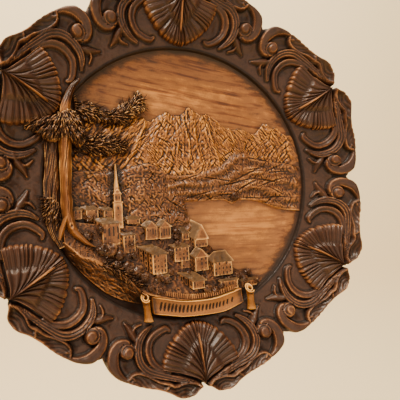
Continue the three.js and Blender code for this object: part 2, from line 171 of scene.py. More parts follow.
# Scattered cuts: rows of number, x range, y range, direction, length range, depth and width
def gouge(x, y, h, rng, passes):
    for count, xs, ys, direction, lengths, depth, width in passes:
        strokes = [
            (rng.uniform(*xs), rng.uniform(*ys), direction(rng), rng.uniform(*lengths)) for _ in range(count)
        ]
        cutStrokes(x, y, h, strokes, depth, width)


# Meshes

def toRow(points):  # mm on the back to metres in the row's frame
    p = np.asarray(points, float)
    return np.stack([p[..., 0], -p[..., 2], p[..., 1]], -1) / 1000


def fromRow(v):
    return np.stack([v[:, 0], v[:, 2], -v[:, 1]], 1)


def addObject(name, data):
    made = bpy.data.objects.new(name, data)
    bpy.context.scene.collection.objects.link(made)
    return made


def addMesh(name, points, faces, finish, smooth=True):  # points in metres
    mesh = bpy.data.meshes.new(name)
    mesh.from_pydata(np.reshape(points, (-1, 3)).tolist(), [], faces)
    mesh.polygons.foreach_set("use_smooth", [smooth] * len(mesh.polygons))
    mesh.materials.append(finish)
    mesh.update()
    return addObject(name, mesh)


def closeUp(piece, gap=1e-6):  # merged doubles, faces outwards
    shape = bmesh.new()
    shape.from_mesh(piece.data)
    if gap:
        bmesh.ops.remove_doubles(shape, verts=shape.verts, dist=gap)
    bmesh.ops.recalc_face_normals(shape, faces=shape.faces)
    shape.to_mesh(piece.data)
    shape.free()
    return piece


def gridFaces(index):  # four-cornered faces between the rows and columns of a grid of vertices
    corners = [index[:-1, :-1], index[:-1, 1:], index[1:, 1:], index[1:, :-1]]
    return np.stack(corners, -1).reshape(-1, 4).tolist()


def ringFaces(rows, columns, axis=1):  # the same for a grid that closes on itself
    index = np.arange(rows * columns).reshape(rows, columns)
    return gridFaces(np.concatenate([index, index.take([0], axis)], axis))


def slabParts(x, y, h, root, coarse=10):  # a relief surface with upright sides and a coarse bottom
    rows, cols = h.shape
    index = np.arange(rows * cols).reshape(rows, cols)
    top = np.stack([x, y, h], -1).reshape(-1, 3)
    rowStops, colStops = ([*range(0, n - 1, coarse), n - 1] for n in (rows, cols))
    used = np.zeros(h.shape, bool)
    used[[0, -1]] = used[:, [0, -1]] = used[np.ix_(rowStops, colStops)] = True
    below = np.zeros(h.shape, int)
    below[used] = rows * cols + np.arange(used.sum())
    low = np.stack([x, y, np.broadcast_to(root, h.shape)], -1)[used]
    ring = np.concatenate([index[0], index[1:, -1], index[-1, -2::-1], index[-2:0:-1, 0]])
    under = below.ravel()[ring]
    sides = np.stack([np.roll(ring, -1), ring, under, np.roll(under, -1)], 1)
    faces = gridFaces(index) + sides.tolist()
    for i0, i1 in zip(rowStops, rowStops[1:]):
        for j0, j1 in zip(colStops, colStops[1:]):  # every vertex along the rim, only the corners inside
            near = below[i0, j0:(j1 if i0 == 0 else j0 + 1)]
            right = below[i0:(i1 if j1 == cols - 1 else i0 + 1), j1]
            far = below[i1, (j0 + 1 if i1 == rows - 1 else j1):j1 + 1][::-1]
            left = below[(i0 + 1 if j0 == 0 else i1):i1 + 1, j0][::-1]
            faces.append(np.concatenate([near, right, far, left])[::-1].tolist())
    return np.concatenate([top, low]), faces


def slab(name, x, y, h, root, finish, shadedRows=0):
    points, faces = slabParts(x, y, h, root)
    piece = addMesh(name, toRow(points), faces, finish)
    # the first rows, along the slab's top edge, are marked for a line of painted shade
    setNumbers(piece, "stepShade", np.arange(len(points)) < shadedRows * h.shape[1])
    return closeUp(piece)


def joinParts(name, parts, finish, smooth=True):  # several point and face lists as one piece
    points, faces, start = [], [], 0
    for p, f in parts:
        points.append(np.asarray(p, float))
        faces += [[int(i) + start for i in face] for face in f]
        start += len(p)
    return closeUp(addMesh(name, toRow(np.concatenate(points)), faces, finish, smooth))


def sheet(edges):  # a grid of places between the edges "top" and "foot", and how far down each lies
    count, columns, rows = edges["grid"]  # points along each edge, then columns and rows of the grid
    a, b = (smoothPath(picturePath(edges[edge], count), columns) for edge in ("top", "foot"))
    share = np.linspace(0, 1, rows)[:, None, None]
    grid = a + (b - a) * share
    return grid[..., 0], grid[..., 1], np.broadcast_to(share[..., 0], grid.shape[:2])


def readNumbers(items, label, width, kind=float):
    numbers = np.empty(len(items) * width, kind)
    items.foreach_get(label, numbers)
    return numbers.reshape(-1, width)


def meshPlaces(piece):  # x, y and h in mm
    return fromRow(readNumbers(piece.data.vertices, "co", 3)) * 1000


def setPlaces(piece, places):
    piece.data.vertices.foreach_set("co", toRow(places).ravel())
    piece.data.update()


def setNumbers(piece, label, values):
    piece.data.attributes.new(label, "FLOAT", "POINT").data.foreach_set("value", np.asarray(values, float))


# Geometry Nodes

def nodeTree(name, inputs, parts, wires):  # wires run from a node's output to a node's input
    tree = bpy.data.node_groups.new(name, "GeometryNodeTree")
    tree.interface.new_socket("Geometry", in_out="INPUT", socket_type="NodeSocketGeometry")
    for label, kind in inputs.items():
        tree.interface.new_socket(label, in_out="INPUT", socket_type="NodeSocket" + kind)
    tree.interface.new_socket("Geometry", in_out="OUTPUT", socket_type="NodeSocketGeometry")
    nodes = {}
    for label, kind in {"start": "NodeGroupInput", "end": "NodeGroupOutput", **parts}.items():
        kind, settings = kind if isinstance(kind, tuple) else (kind, {})
        nodes[label] = tree.nodes.new(kind)
        nodes[label].name = label
        for key, value in settings.items():
            setattr(nodes[label], key, value)
    for source, output, target, into in wires:
        tree.links.new(nodes[source].outputs[output], nodes[target].inputs[into])
    return tree


def runTree(name, host, tree, values, finish, smooth=True):  # the tree's result as a plain mesh
    modifier = host.modifiers.new(tree.name, "NODES")
    modifier.node_group = tree
    values = {**values, "Finish": finish}
    for socket in tree.interface.items_tree:
        if socket.in_out == "INPUT" and socket.name in values:
            modifier[socket.identifier] = values[socket.name]
    graph = bpy.context.evaluated_depsgraph_get()
    mesh = bpy.data.meshes.new_from_object(host.evaluated_get(graph), depsgraph=graph)
    host.modifiers.remove(modifier)
    mesh.name = name
    mesh.materials.clear()
    mesh.materials.append(finish)
    mesh.polygons.foreach_set("material_index", [0] * len(mesh.polygons))
    mesh.polygons.foreach_set("use_smooth", [smooth] * len(mesh.polygons))
    piece = addObject(name, mesh)
    for used in [host, *[v for v in values.values() if isinstance(v, bpy.types.Object)]]:
        bpy.data.objects.remove(used)
    return piece


# Copies of a wedge, turned round the plaque's centre and merged
turnedCopies = nodeTree(
    "turnedCopies", {"Copies": "Int", "Merge Gap": "Float", "Finish": "Material"},
    {
        "points": "GeometryNodePoints", "place": "GeometryNodeInstanceOnPoints",
        "order": "GeometryNodeInputIndex", "step": ("ShaderNodeMath", {"operation": "DIVIDE"}),
        "turn": ("ShaderNodeMath", {"operation": "MULTIPLY"}),
        "pack": "ShaderNodeCombineXYZ", "real": "GeometryNodeRealizeInstances",
        "merge": "GeometryNodeMergeByDistance", "paint": "GeometryNodeSetMaterial",
    },
    [
        ("start", "Copies", "points", "Count"), ("points", 0, "place", "Points"),
        ("start", "Geometry", "place", "Instance"), ("start", "Copies", "step", 1), ("order", 0, "turn", 0),
        ("step", 0, "turn", 1), ("turn", 0, "pack", "Y"), ("pack", 0, "place", "Rotation"),
        ("place", 0, "real", 0), ("real", 0, "merge", "Geometry"),
        ("start", "Merge Gap", "merge", "Distance"), ("merge", 0, "paint", "Geometry"),
        ("start", "Finish", "paint", "Material"), ("paint", 0, "end", "Geometry"),
    ],
)
turnedCopies.nodes["step"].inputs[0].default_value = math.tau

# A copy of one shape at each point, turned and stretched by the point's own matrix
placedCopies = nodeTree(
    "placedCopies", {"Shape": "Object", "Finish": "Material"},
    {
        "shape": "GeometryNodeObjectInfo", "place": "GeometryNodeInstanceOnPoints",
        "matrix": ("GeometryNodeInputNamedAttribute", {"data_type": "FLOAT4X4"}),
        "move": "GeometryNodeSetInstanceTransform", "real": "GeometryNodeRealizeInstances",
        "paint": "GeometryNodeSetMaterial",
    },
    [
        ("start", "Shape", "shape", "Object"), ("start", "Geometry", "place", "Points"),
        ("shape", "Geometry", "place", "Instance"), ("place", 0, "move", "Instances"),
        ("matrix", "Attribute", "move", "Transform"), ("move", 0, "real", 0),
        ("real", 0, "paint", "Geometry"), ("start", "Finish", "paint", "Material"),
        ("paint", 0, "end", "Geometry"),
    ],
)
placedCopies.nodes["matrix"].inputs["Name"].default_value = "place"


def lobeCopies(name, wedge, gap):  # the wedge once on each lobe
    values = {"Copies": blank["lobes"], "Merge Gap": gap}
    return handMade(closeUp(runTree(name, wedge, turnedCopies, values, wood["rim"])))


def scatter(name, shape, places, finish, wearAndShade, seed=1):  # places: origin and three axes of each copy, in mm
    places = np.asarray(places, float)
    matrices = np.zeros((len(places), 4, 4))
    matrices[:, :3, :3] = toRow(places[:, 1:]).transpose(0, 2, 1)
    matrices[:, :3, 3] = toRow(places[:, 0])
    matrices[:, 3, 3] = 1
    host = addMesh(name + "Points", np.zeros((len(places), 3)), [], finish)
    attribute = host.data.attributes.new("place", "FLOAT4X4", "POINT")
    attribute.data.foreach_set("value", matrices.transpose(0, 2, 1).ravel())
    single = addMesh(name + "Shape", *shape, finish, False)
    piece = closeUp(runTree(name, host, placedCopies, {"Shape": single}, finish, False), 0)
    tone = np.repeat(np.random.default_rng(seed).uniform(-0.3, 0.3, len(places)), len(wearAndShade))
    setNumbers(piece, "wearAndShade", np.tile(wearAndShade, len(places)) + tone)
    return piece


# Finishes

stain = {
    "middle": 0.46, "wearAndShade": 0.42, "hollow": -0.34, "speckle": 0.22, "glow": 0.4, "inkAndShade": -1.0,
    "patchScale": 38, "speckScale": 650, "streakFrom": 0.34, "streakTo": 0.52,
    "streakTint": {"Red": 0.75, "Green": 1.0, "Blue": 1.15}, "patchGloss": 0.22, "hollowMatt": 0.32,
    "bump": 0.0008, "fibreBump": 0.55, "speckBump": 0.45,
    "polish": {
        "Specular IOR Level": 0.28, "Specular Tint": (1.0, 0.8, 0.6, 1), "Coat Weight": 0.12,
        "Coat Roughness": 0.22,
    },
}
# The tones run from the dark wash and painted shade in the hollows to the rubbed edges: where each lies, and
# its red, green and blue
tones = {
    "rim": [
        (0.0, 0.006, 0.0018, 0.0008), (0.3, 0.019, 0.0060, 0.0025), (0.52, 0.035, 0.0125, 0.0056),
        (0.74, 0.068, 0.0240, 0.0095), (1.0, 0.27, 0.112, 0.036),
    ],
    "picture": [
        (0.0, 0.010, 0.003, 0.0012), (0.25, 0.045, 0.015, 0.0045), (0.5, 0.19, 0.066, 0.0125),
        (0.75, 0.40, 0.155, 0.027), (1.0, 0.70, 0.34, 0.075),
    ],
    "village": [
        (0.0, 0.008, 0.0028, 0.001), (0.3, 0.036, 0.0115, 0.0036), (0.52, 0.115, 0.039, 0.0105),
        (0.76, 0.25, 0.096, 0.025), (1.0, 0.58, 0.30, 0.088),
    ],
    "pine": [
        (0.0, 0.003, 0.0015, 0.001), (0.35, 0.012, 0.005, 0.0025), (0.6, 0.045, 0.016, 0.006),
        (0.8, 0.12, 0.045, 0.015), (1.0, 0.43, 0.23, 0.08),
    ],
    "roof": [
        (0.0, 0.008, 0.004, 0.0015), (0.35, 0.03, 0.015, 0.005), (0.6, 0.075, 0.035, 0.011),
        (0.8, 0.15, 0.07, 0.022), (1.0, 0.42, 0.23, 0.08),
    ],
}
# Each finish: its tones; the grain's scale, stretch, turn, scale of the streaks beside the fibres, and depth
# of the streaks; roughness, bump, mottle, strength of the fibres, and lift of the whole tone
finishes = {
    "rim": ("rim", (90, 0.25, 0.3, 0.23, 0.35), 0.47, 0.38, 0.45, 0.35, 0.0),
    "sky": ("picture", (200, 0.07, 0.16, 1.3, 0.75), 0.42, 0.12, 0.25, 0.5, 0.04),
    "lake": ("picture", (220, 0.05, 0.03, 1.5, 0.45), 0.36, 0.12, 0.25, 0.55, 0.02),
    "bark": ("pine", (160, 3.0, 0.0, 0.23, 0.5), 0.5, 0.3, 0.5, 0.3, 0.06),
    "mountain": ("picture", (130, 0.4, 0.2, 0.23, 0.25), 0.42, 0.2, 0.3, 0.2, 0.0),
    "slope": ("village", (130, 0.4, 0.1, 0.23, 0.3), 0.45, 0.2, 0.4, 0.2, -0.06),
    "village": ("village", (160, 0.5, 0.1, 0.23, 0.25), 0.45, 0.2, 0.3, 0.2, 0.06),
    "ground": ("village", (140, 0.4, 0.5, 0.23, 0.4), 0.5, 0.25, 0.45, 0.2, -0.06),
    "roof": ("roof", (160, 0.5, 0.0, 0.23, 0.3), 0.45, 0.2, 0.3, 0.2, 0.04),
    "pine": ("pine", (160, 0.5, 0.0, 0.23, 0.3), 0.42, 0.25, 0.4, 0.2, 0.0),
    "trunk": ("village", (120, 3.0, 0.0, 0.23, 0.35), 0.42, 0.3, 0.35, 0.3, 0.04),
    "ribbon": ("picture", (140, 0.12, 0.0, 0.23, 0.25), 0.42, 0.2, 0.3, 0.3, 0.02),
}


def stained(name, toneSet, grain, roughness, relief, mottle, grainStrength, lift):
    finish = bpy.data.materials.new(name)
    finish.use_nodes = True
    nodes, link = finish.node_tree.nodes, finish.node_tree.links.new
    shader = nodes["Principled BSDF"]

    def fill(node, inputs):  # links or plain values for a node's inputs
        for label, value in inputs.items():
            if isinstance(value, bpy.types.NodeSocket):
                link(value, node.inputs[label])
            else:
                node.inputs[label].default_value = value

    def add(kind, inputs, **settings):
        node = nodes.new("ShaderNode" + kind)
        for label, value in settings.items():
            setattr(node, label, value)
        fill(node, inputs)
        return node

    def weighed(total, parts, clamp=True):  # the total plus each part times its weight
        for part, weight in parts:
            node = add("Math", {0: part, 1: weight, 2: total}, operation="MULTIPLY_ADD")
            total = node.outputs[0]
        node.use_clamp = clamp
        return total

    def noise(scale, detail, rough=0.5, stretch=1.0, turn=0.0):
        place = {"Vector": objectPlace, "Scale": (1 / stretch, 1, 1), "Rotation": (0, turn, 0)}
        turned = add("Mapping", place, vector_type="TEXTURE").outputs[0]
        look = {"Vector": turned, "Scale": scale, "Detail": detail, "Roughness": rough}
        return add("TexNoise", look).outputs["Fac"]

    def attribute(label):
        return add("Attribute", {}, attribute_name=label).outputs["Fac"]

    objectPlace = add("TexCoord", {}).outputs["Object"]
    scale, stretch, turn, streakScale, streakDepth = grain
    fibre = noise(scale, 6, 0.62, stretch, turn)
    streaks = noise(scale * streakScale, 3, 0.55, stretch, turn)
    patches = noise(stain["patchScale"], 4)
    specks = noise(stain["speckScale"], 3, 0.7)
    hollow = attribute("hollow")
    middle = stain["middle"] + lift - (mottle + grainStrength + stain["speckle"]) / 2
    # the tone: worn edges lighter; dark wash with painted shade in the hollows; painted shade on marked slab
    # edges, window panes and round the tower; painted sheen and shade on the dish and rubbed gold on rolls
    # and shells; ink in the ribbon's strokes and painted shadow at its ends
    tone = weighed(middle, [
        (attribute("wearAndShade"), stain["wearAndShade"]), (hollow, stain["hollow"]), (patches, mottle),
        (fibre, grainStrength), (specks, stain["speckle"]), (attribute("glow"), stain["glow"]),
        (attribute("inkAndShade"), stain["inkAndShade"]),
    ])
    colours = add("ValToRGB", {"Fac": tone})
    colours.color_ramp.interpolation = "EASE"
    while len(colours.color_ramp.elements) < len(tones[toneSet]):
        colours.color_ramp.elements.new(0.5)
    for stop, (place, *colour) in zip(colours.color_ramp.elements, tones[toneSet]):
        stop.position, stop.color = place, (*colour, 1)
    shade = add("MapRange", {
        "Value": streaks, "From Min": stain["streakFrom"], "From Max": stain["streakTo"],
        "To Min": 1.0 - streakDepth,
    }).outputs[0]
    tint = add("CombineColor", {
        channel: add("Math", {0: shade, 1: power}, operation="POWER").outputs[0]
        for channel, power in stain["streakTint"].items()
    }).outputs[0]
    layers = {"Factor": 1.0, "A": colours.outputs["Color"], "B": tint}
    shine = weighed(roughness - 0.1, [(patches, stain["patchGloss"]), (hollow, stain["hollowMatt"])])
    height = weighed(0.0, [(fibre, stain["fibreBump"]), (specks, stain["speckBump"])], False)
    bump = {"Strength": relief, "Distance": stain["bump"], "Height": height}
    fill(shader, {
        "Base Color": add("Mix", layers, data_type="RGBA", blend_type="MULTIPLY").outputs["Result"],
        "Roughness": shine, "Normal": add("Bump", bump).outputs[0], **stain["polish"],
    })
    return finish


wood = {name: stained(name + "Wood", *look) for name, look in finishes.items()}

# The blank: picture dish and rim

halfEdge = [
    [0, 122], [6, 127], [12, 137], [19, 140], [26, 138], [34, 131], [45, 127], [55, 127],
    [65, 126], [74, 125], [82, 122], [90, 115], [96, 107], [100, 100],
]
rim = {
    "columns": 180, "rows": 82, "start": 137.6, "edgeRound": 4.5, "lipRound": 0.8, "groove": 0.9,
    "lipShade": (140.4, 1.6, 0.9),  # radius, width and strength
    "pits": [(42, 160, 1.8, 110), (70, 171, 2.6, 60), (78, 138, 1.6, 90)],  # x, y, depth and spread
    "skirt": [(0.3, 0.35), (0.2, 0.7), (1.2, 1.0)],  # in from the edge, and share of the way down
    "underside": [(165.0, backHeight(165.0)), (126.0, 0.3), (126.0, 8.0), (137.2, 12.0)],
    # rows of x, y, width and rise in mm, for the right half of a lobe that points up
    "volute": [
        [66, 185.5, 3, 3], [74, 183, 7, 5.2], [80, 178, 9, 6.2], [84, 170.5, 10.5, 6.8],
        [84.3, 162, 10.5, 6.8], [82, 154.5, 9.5, 6.6], [77, 150, 8, 6.2], [71, 149.5, 6, 5.8],
        [67, 152, 4, 5.5],
    ],
    "scroll": [
        [8, 193, 3, 8], [18, 189.5, 4.5, 7], [30, 186, 5.5, 6], [42, 182, 6.5, 5.4], [52, 177.5, 7.6, 5.2],
        [58.5, 170.5, 8.4, 5.2], [60.5, 161.5, 8.4, 5.2], [58.5, 152.5, 8, 5], [53, 145, 6.5, 4.6],
        [45, 140, 3.5, 3],
    ],
    "crescent": [
        [31, 181, 3, 3.5], [40, 177.5, 5.4, 4], [46.5, 172, 7, 4.2], [49.5, 165, 7.6, 4.3],
        [49, 157, 7.6, 4.3], [45, 150, 7, 4.1], [38, 145.5, 6.6, 3.9], [31, 143.5, 5.6, 3.6],
        [27.5, 145.5, 3.4, 2.8],
    ],
    "spur": [[58, 153, 6, 3.8], [62.5, 146, 8, 3.8], [66, 139.5, 6, 3], [70, 134, 2, 1.5]],
    "tail": [[59, 150, 4, 3.6], [63, 143.5, 4, 3.2], [60, 138.5, 3.5, 2.6], [54, 136.8, 2, 2]],
    "fold": [
        [4, 196, 3, 10], [11, 192.8, 3.2, 9.4], [20, 191.4, 3.4, 9], [29, 192.3, 3.2, 8.4],
        [35, 189.5, 3, 7.6], [43, 187.2, 3, 7.2], [51, 182.5, 3.2, 6.8], [59, 178, 3.4, 6.2],
        [67, 177.2, 3, 5.6], [73, 182, 2.4, 5],
    ],
    "foldEnd": 74, "veinGap": 3.4, "veinDepth": 0.2,
}
roll = {
    "x": 70.5, "y": 157.5, "radius": 7.6, "rise": 6.6, "start": 0.5, "cut": 2.4, "cutWidth": 0.9, "glow": 0.3,
}


def edgeRadius(angleShare):  # the plaque's outline, for either half of a lobe
    x, y = rimPath(halfEdge, 400).T
    return np.interp(np.abs(angleShare), np.arctan2(x, y) / halfLobe, np.hypot(x, y))


def bandProfile(v):  # a broad flat band, faintly dished, with a fine line near its inner side
    return 0.86 * (1 - np.abs(v) ** 6) ** 0.5 * (0.9 + 0.14 * v ** 2) - 0.12 * bell(v + 0.62, 0.13)


def creasedProfile(v):  # a flatter band with one crease along it
    return (1 - np.abs(v) ** 5) ** 0.5 * (0.8 + 0.12 * v) - 0.2 * bell(v + 0.15, 0.14)


def mouldedProfile(v):  # three crests with cut grooves between them
    crests = np.maximum(0.62, np.abs(np.cos(1.5 * math.pi * v)) ** 0.45)
    return crests * (1 - np.abs(v) ** 7) ** 0.5 * (0.84 + 0.16 * v)


def crestProfile(v):
    return (1 - np.abs(v) ** 1.5) ** 0.75


def raisedBand(x, y, h, base, points, profile):
    d, _, (width, rise) = nearPath(x, y, smoothPath(points, 70))
    v = d / np.maximum(width / 2, 0.5)
    raised = base + rise * profile(np.clip(v, -1, 1))
    h[:] = np.where(np.abs(v) < 1, np.maximum(h, raised), h)
    out = np.abs(d) - width / 2
    cut = rim["groove"] * bell(out - 0.8) * (out > 0)
    h -= np.where(h < base + 2.2, cut, cut * 0.25)


def foldHeights(x, y, r, outer, base):  # the acanthus fold along the edge, scooped out between raised edges
    d, along, (_, rise) = nearPath(x, y, smoothPath(rim["fold"], 90))
    inside = (d > -1.3) & (along < 0.995) & (x < rim["foldEnd"])
    crossed = bell(along - 0.42 - 0.012 * d, 0.022) + 0.8 * bell(along - 0.93 + 0.006 * d, 0.02)
    wave = d / rim["veinGap"] + 4.2 * along + 0.5 * np.sin(9 * along)
    veins = rim["veinDepth"] * np.abs(np.sin(math.pi * wave)) ** 0.6 * ramp(d, 2.5)
    scoop = 0.32 + 0.2 * np.cos(math.tau * (along - 0.42) / 0.52)
    raised = np.maximum.reduce([bell(d, 1.1), bell(outer - r, 2.6), 0.85 * np.clip(crossed, 0, 1)])
    level = np.clip(scoop + veins + raised * 0.65, 0, 1.05)
    blend = ramp(along, 0.06)
    return np.where(inside, base + rise * (level * blend + 1 - blend), -99)


def rollHeights(x, y, h, base):  # the domed roll inside the volute, with a spiral cut in it
    reach = np.hypot(x - roll["x"], y - roll["y"])
    angle = (np.arctan2(y - roll["y"], x - roll["x"]) - roll["start"]) % math.tau / math.tau
    u = ramp(reach, roll["radius"])
    spiral = bell(reach - roll["radius"] * (1.0 - 0.5 * angle), roll["cutWidth"]) * ramp(1 - angle, 0.15)
    dome = roll["rise"] * (1 - u ** 5) ** 0.5 * (1 + 0.15 * (1 - u)) - roll["cut"] * spiral * (u < 1)
    h = np.where(u < 1, np.maximum(base, base + dome), h)
    return h - 1.2 * bell(reach - roll["radius"] - 0.8, 0.9) * (h < base + 2)


def lobeHeights(x, y, outer):
    ax, r = np.abs(x), np.hypot(x, y)
    base = groundHeight(r)
    for cx, cy, depth, spread in rim["pits"]:
        base = base - depth * np.exp(-((ax - cx) ** 2 + (y - cy) ** 2) / spread)
    base = base + 0.25 * layeredNoise(x + 300, y, 7, 5)
    h = base.copy()
    bands = {
        "tail": crestProfile, "spur": crestProfile, "crescent": creasedProfile, "scroll": mouldedProfile,
        "volute": bandProfile,
    }
    for band, profile in bands.items():
        raisedBand(ax, y, h, base, rim[band], profile)
    h = np.maximum(rollHeights(ax, y, h, base), foldHeights(ax, y, r, outer, base))
    return h + 0.22 * layeredNoise(x + 50, y, 3.4, 9)


def ringRow(r, h, across, up):
    return np.stack(np.broadcast_arrays(r * across, r * up, h), -1)[None]


def makeRim():
    share = np.linspace(-1, 1, rim["columns"] + 1)
    outer = edgeRadius(share)
    r = rim["start"] + np.linspace(0, 1, rim["rows"] + 1)[:, None] * (outer - rim["start"])
    across, up = np.sin(share * halfLobe), np.cos(share * halfLobe)
    x, y = r * across, r * up
    h = lobeHeights(x, y, outer)
    for gap, size in ((outer - r, rim["edgeRound"]), (r - rim["start"], rim["lipRound"])):
        h = h - size * (1 - np.sqrt(1 - (1 - ramp(gap, size)) ** 2))
    skirt = [(outer - inset, h[-1] + (backHeight(outer) - h[-1]) * fall) for inset, fall in rim["skirt"]]
    rows = [np.stack([x, y, h], -1)]
    rows += [ringRow(rowRadius, rowHeight, across, up) for rowRadius, rowHeight in skirt + rim["underside"]]
    grid = np.concatenate(rows)
    wedge = addMesh("rimWedge", toRow(grid), ringFaces(*grid.shape[:2], axis=0), wood["rim"])
    return lobeCopies("rimCarving", wedge, 2e-5)


handWork = {"size": 24.0, "amount": 0.8, "seed": 3, "shares": [(1, 1), (1, 1), (0.8, 0.6)]}


def handMade(piece):  # no two lobes carved quite alike
    places = meshPlaces(piece)
    x, y, h = places.T
    r = np.hypot(x, y)
    fade = ramp(r - 141, 15) * ramp(h - backHeight(r) - 2, 8)
    shift = np.stack([
        share * softNoise(x, y, size * handWork["size"], handWork["seed"] + k)
        for k, (share, size) in enumerate(handWork["shares"])
    ], 1)
    setPlaces(piece, places + fade[:, None] * shift * handWork["amount"])
    return piece


dish = {
    "turns": 240, "floor": (0.4, 108, 46), "sweep": (109, 139.4, 34), "toolMarks": 0.16,
    "underside": [(139.4, 12.0), (126.5, 1.0), (125.0, 0.2), (124.0, 0.0), (60.0, 0.0), (0.4, 0.0)],
    "shore": -0.012, "back": -0.008,  # in metres: the sky's wood ends below the one and behind the other
    # painted shade along the lip, and painted shadow in the fillet below the village
    "edgeShade": (139.4, 4.5, 1.3), "villageShade": (118, 12, 1.2),  # radius, width and strength
    # painted sheen: lighter patches on the lake and the sky
    "paintedSheen": [(70, -46, 42, 17, 0.75), (10, 88, 70, 26, 0.28)],  # x, y, width, height and glow
}


def makeDish():
    radii = np.concatenate([np.linspace(*dish["floor"]), np.linspace(*dish["sweep"])])
    angle = np.linspace(0, math.tau, dish["turns"] + 1)[:-1]
    x, y = radii[:, None] * np.cos(angle), radii[:, None] * np.sin(angle)
    h = dishHeight(x, y) + dish["toolMarks"] * layeredNoise(x, y * 1.6, 17, 40)
    rows = [np.stack([x, y, h], -1)]
    rows += [ringRow(r, rowHeight, np.cos(angle), np.sin(angle)) for r, rowHeight in dish["underside"]]
    grid = np.concatenate(rows)
    count = len(grid)
    faces = ringFaces(count, dish["turns"])
    first = np.arange(dish["turns"])
    faces += [first[::-1].tolist(), (first + (count - 1) * dish["turns"]).tolist()]
    piece = closeUp(addMesh("pictureDish", toRow(grid), faces, wood["sky"]))
    for finish in ("lake", "rim"):
        piece.data.materials.append(wood[finish])
    for face in piece.data.polygons:
        if face.center.z < dish["shore"]:
            face.material_index = 1
        if face.center.y > dish["back"]:
            face.material_index = 2
    x, y, h = meshPlaces(piece).T
    r = np.hypot(x, y)
    glow = np.zeros(len(r))
    # painted sheen on the lake and the sky
    for cx, cy, width, height, strength in dish["paintedSheen"]:
        glow += strength * bell(x - cx, width) * bell(y - cy, height)
    # painted shade along the lip, then painted shadow in the fillet below the village and the rock ledge
    radius, width, strength = dish["edgeShade"]
    glow -= strength * bell(radius - r, width)
    radius, width, strength = dish["villageShade"]
    glow -= strength * ramp(r - radius, width) * (y < -62) * (x < 30)
    setNumbers(piece, "glow", glow * (h > 8))
    return piece


def goldRollsAndLipShade(piece):  # the rolls of the volutes are rubbed down to a lighter gold; painted shade darkens the rim along the lip
    px, py, h = meshPlaces(piece).T
    # painted shade along the lip, where the step casts its shadow line
    radius, width, strength = rim["lipShade"]
    glow = -strength * ramp(radius - np.hypot(px, py), width) * (h > blank["floor"])
    for k in range(blank["lobes"]):
        turn = 2 * halfLobe * k
        x = px * math.cos(turn) - py * math.sin(turn)
        y = px * math.sin(turn) + py * math.cos(turn)
        near = np.hypot(np.abs(x) - roll["x"], y - roll["y"]) / roll["radius"]
        glow += roll["glow"] * np.clip(1.4 - near * 1.2, 0, 1)
    setNumbers(piece, "glow", glow)
    return piece


pieces += [goldRollsAndLipShade(makeRim()), makeDish()]
print("blank and rim made")

# Shells, one on each lobe

shell = {
    "border": [
        [0, 140.5], [7, 141.5], [14, 144.5], [21, 149.5], [27, 155.5], [32.5, 162.5], [37, 170], [39, 178],
    ],
    "hinge": 195.5, "ribs": 6, "pleats": 12, "frill": 0.62, "rise": 9.0, "spine": 4.0, "ribRise": 2.6,
    "crimp": 1.15, "columns": 264, "rows": 54,
    "bodyAt": [0, 0.12, 0.4, 0.6, 0.68, 0.78, 0.9, 0.96, 0.985, 1],
    "body": [1.0, 0.92, 1.0, 0.94, 0.66, 0.7, 0.76, 0.66, 0.5, 0.05],
}


def makeShells():
    half = smoothPath(shell["border"], shell["columns"] // 2 + 1)
    edge = np.concatenate([half[:0:-1] * [-1, 1], half])
    u = np.linspace(-1, 1, len(edge))[None]
    v = np.linspace(0.03, 1, shell["rows"])[:, None]
    turn = shell["pleats"] * (u + 0.035 * np.sin(7 * u + 0.6) + 0.02 * np.sin(19 * u))
    pleat = 2 * np.abs(np.sin(math.pi * turn)) ** 0.55 - 1
    frill = ramp(v - shell["frill"], 1 - shell["frill"])
    uneven = 1 + 0.35 * np.sin(11 * u + 1) + 0.2 * np.sin(23 * u)
    spread = 1 + 0.016 * pleat * uneven * frill ** 3
    x = edge[None, :, 0] * v ** (2.15 - 0.65 * u ** 4) * spread
    y = shell["hinge"] + (edge[None, :, 1] - shell["hinge"]) * v ** 0.84 * spread
    ground = groundHeight(np.hypot(x, y))
    arch = blank["hinge"] - 2 - ground - shell["rise"]
    body = shell["rise"] * np.interp(v, shell["bodyAt"], shell["body"])
    bulge = body + arch * np.clip(1 - v / 0.35, 0, 1) ** 1.5
    spineWidth = np.clip((0.7 + 1.7 * v) / (60 * v ** 2.15), 0, 0.5)  # a wedge, wider towards the frill
    spine = shell["spine"] * np.clip(1 - (u / spineWidth) ** 2, 0, 1) ** 0.6
    spine = spine * ramp(0.8 - v, 0.1) ** 0.6 * np.clip(v / 0.2, 0.25, 1)
    share = np.abs(u) ** 0.85 * shell["ribs"] + 0.35
    ribEnd = 0.67 - 0.04 * np.abs(u) + 0.03 * np.sin(math.tau * share + 1)
    ribs = shell["ribRise"] * (np.abs(np.sin(math.pi * share)) ** 0.55 - 0.72)
    ribs = ribs * ramp(v, 0.15) * ramp(ribEnd - v, 0.07) ** 0.5
    ribs = ribs * np.clip(np.abs(u) / spineWidth - 0.6, 0, 0.4) / 0.4
    crimp = shell["crimp"] * (pleat - 0.3) * uneven * np.clip(frill * 2.5, 0, 1)
    crimp = crimp + 0.2 * np.sin(math.tau * turn * 2.3) * np.clip(frill * 2, 0, 1)
    h = ground + (bulge + ribs + crimp) * (1 - 0.35 * np.abs(u) ** 6) + spine
    rubbed = 1.2 * ramp(spine, shell["spine"]) * ramp(v, 0.4)
    rubbed = rubbed + 0.3 * np.exp(-((u / 0.25) ** 2 + ((v - 0.7) / 0.2) ** 2))
    points, faces = slabParts(x, y, h, ground - 3)
    wedge = addMesh("shellWedge", toRow(points), faces, wood["rim"])
    setNumbers(wedge, "glow", np.concatenate([rubbed.ravel(), np.zeros(len(points) - h.size)]))
    return lobeCopies("shells", wedge, 1e-7)


pieces.append(makeShells())
print("shells made")

# Far mountains, slopes over the lake and the wooded hill

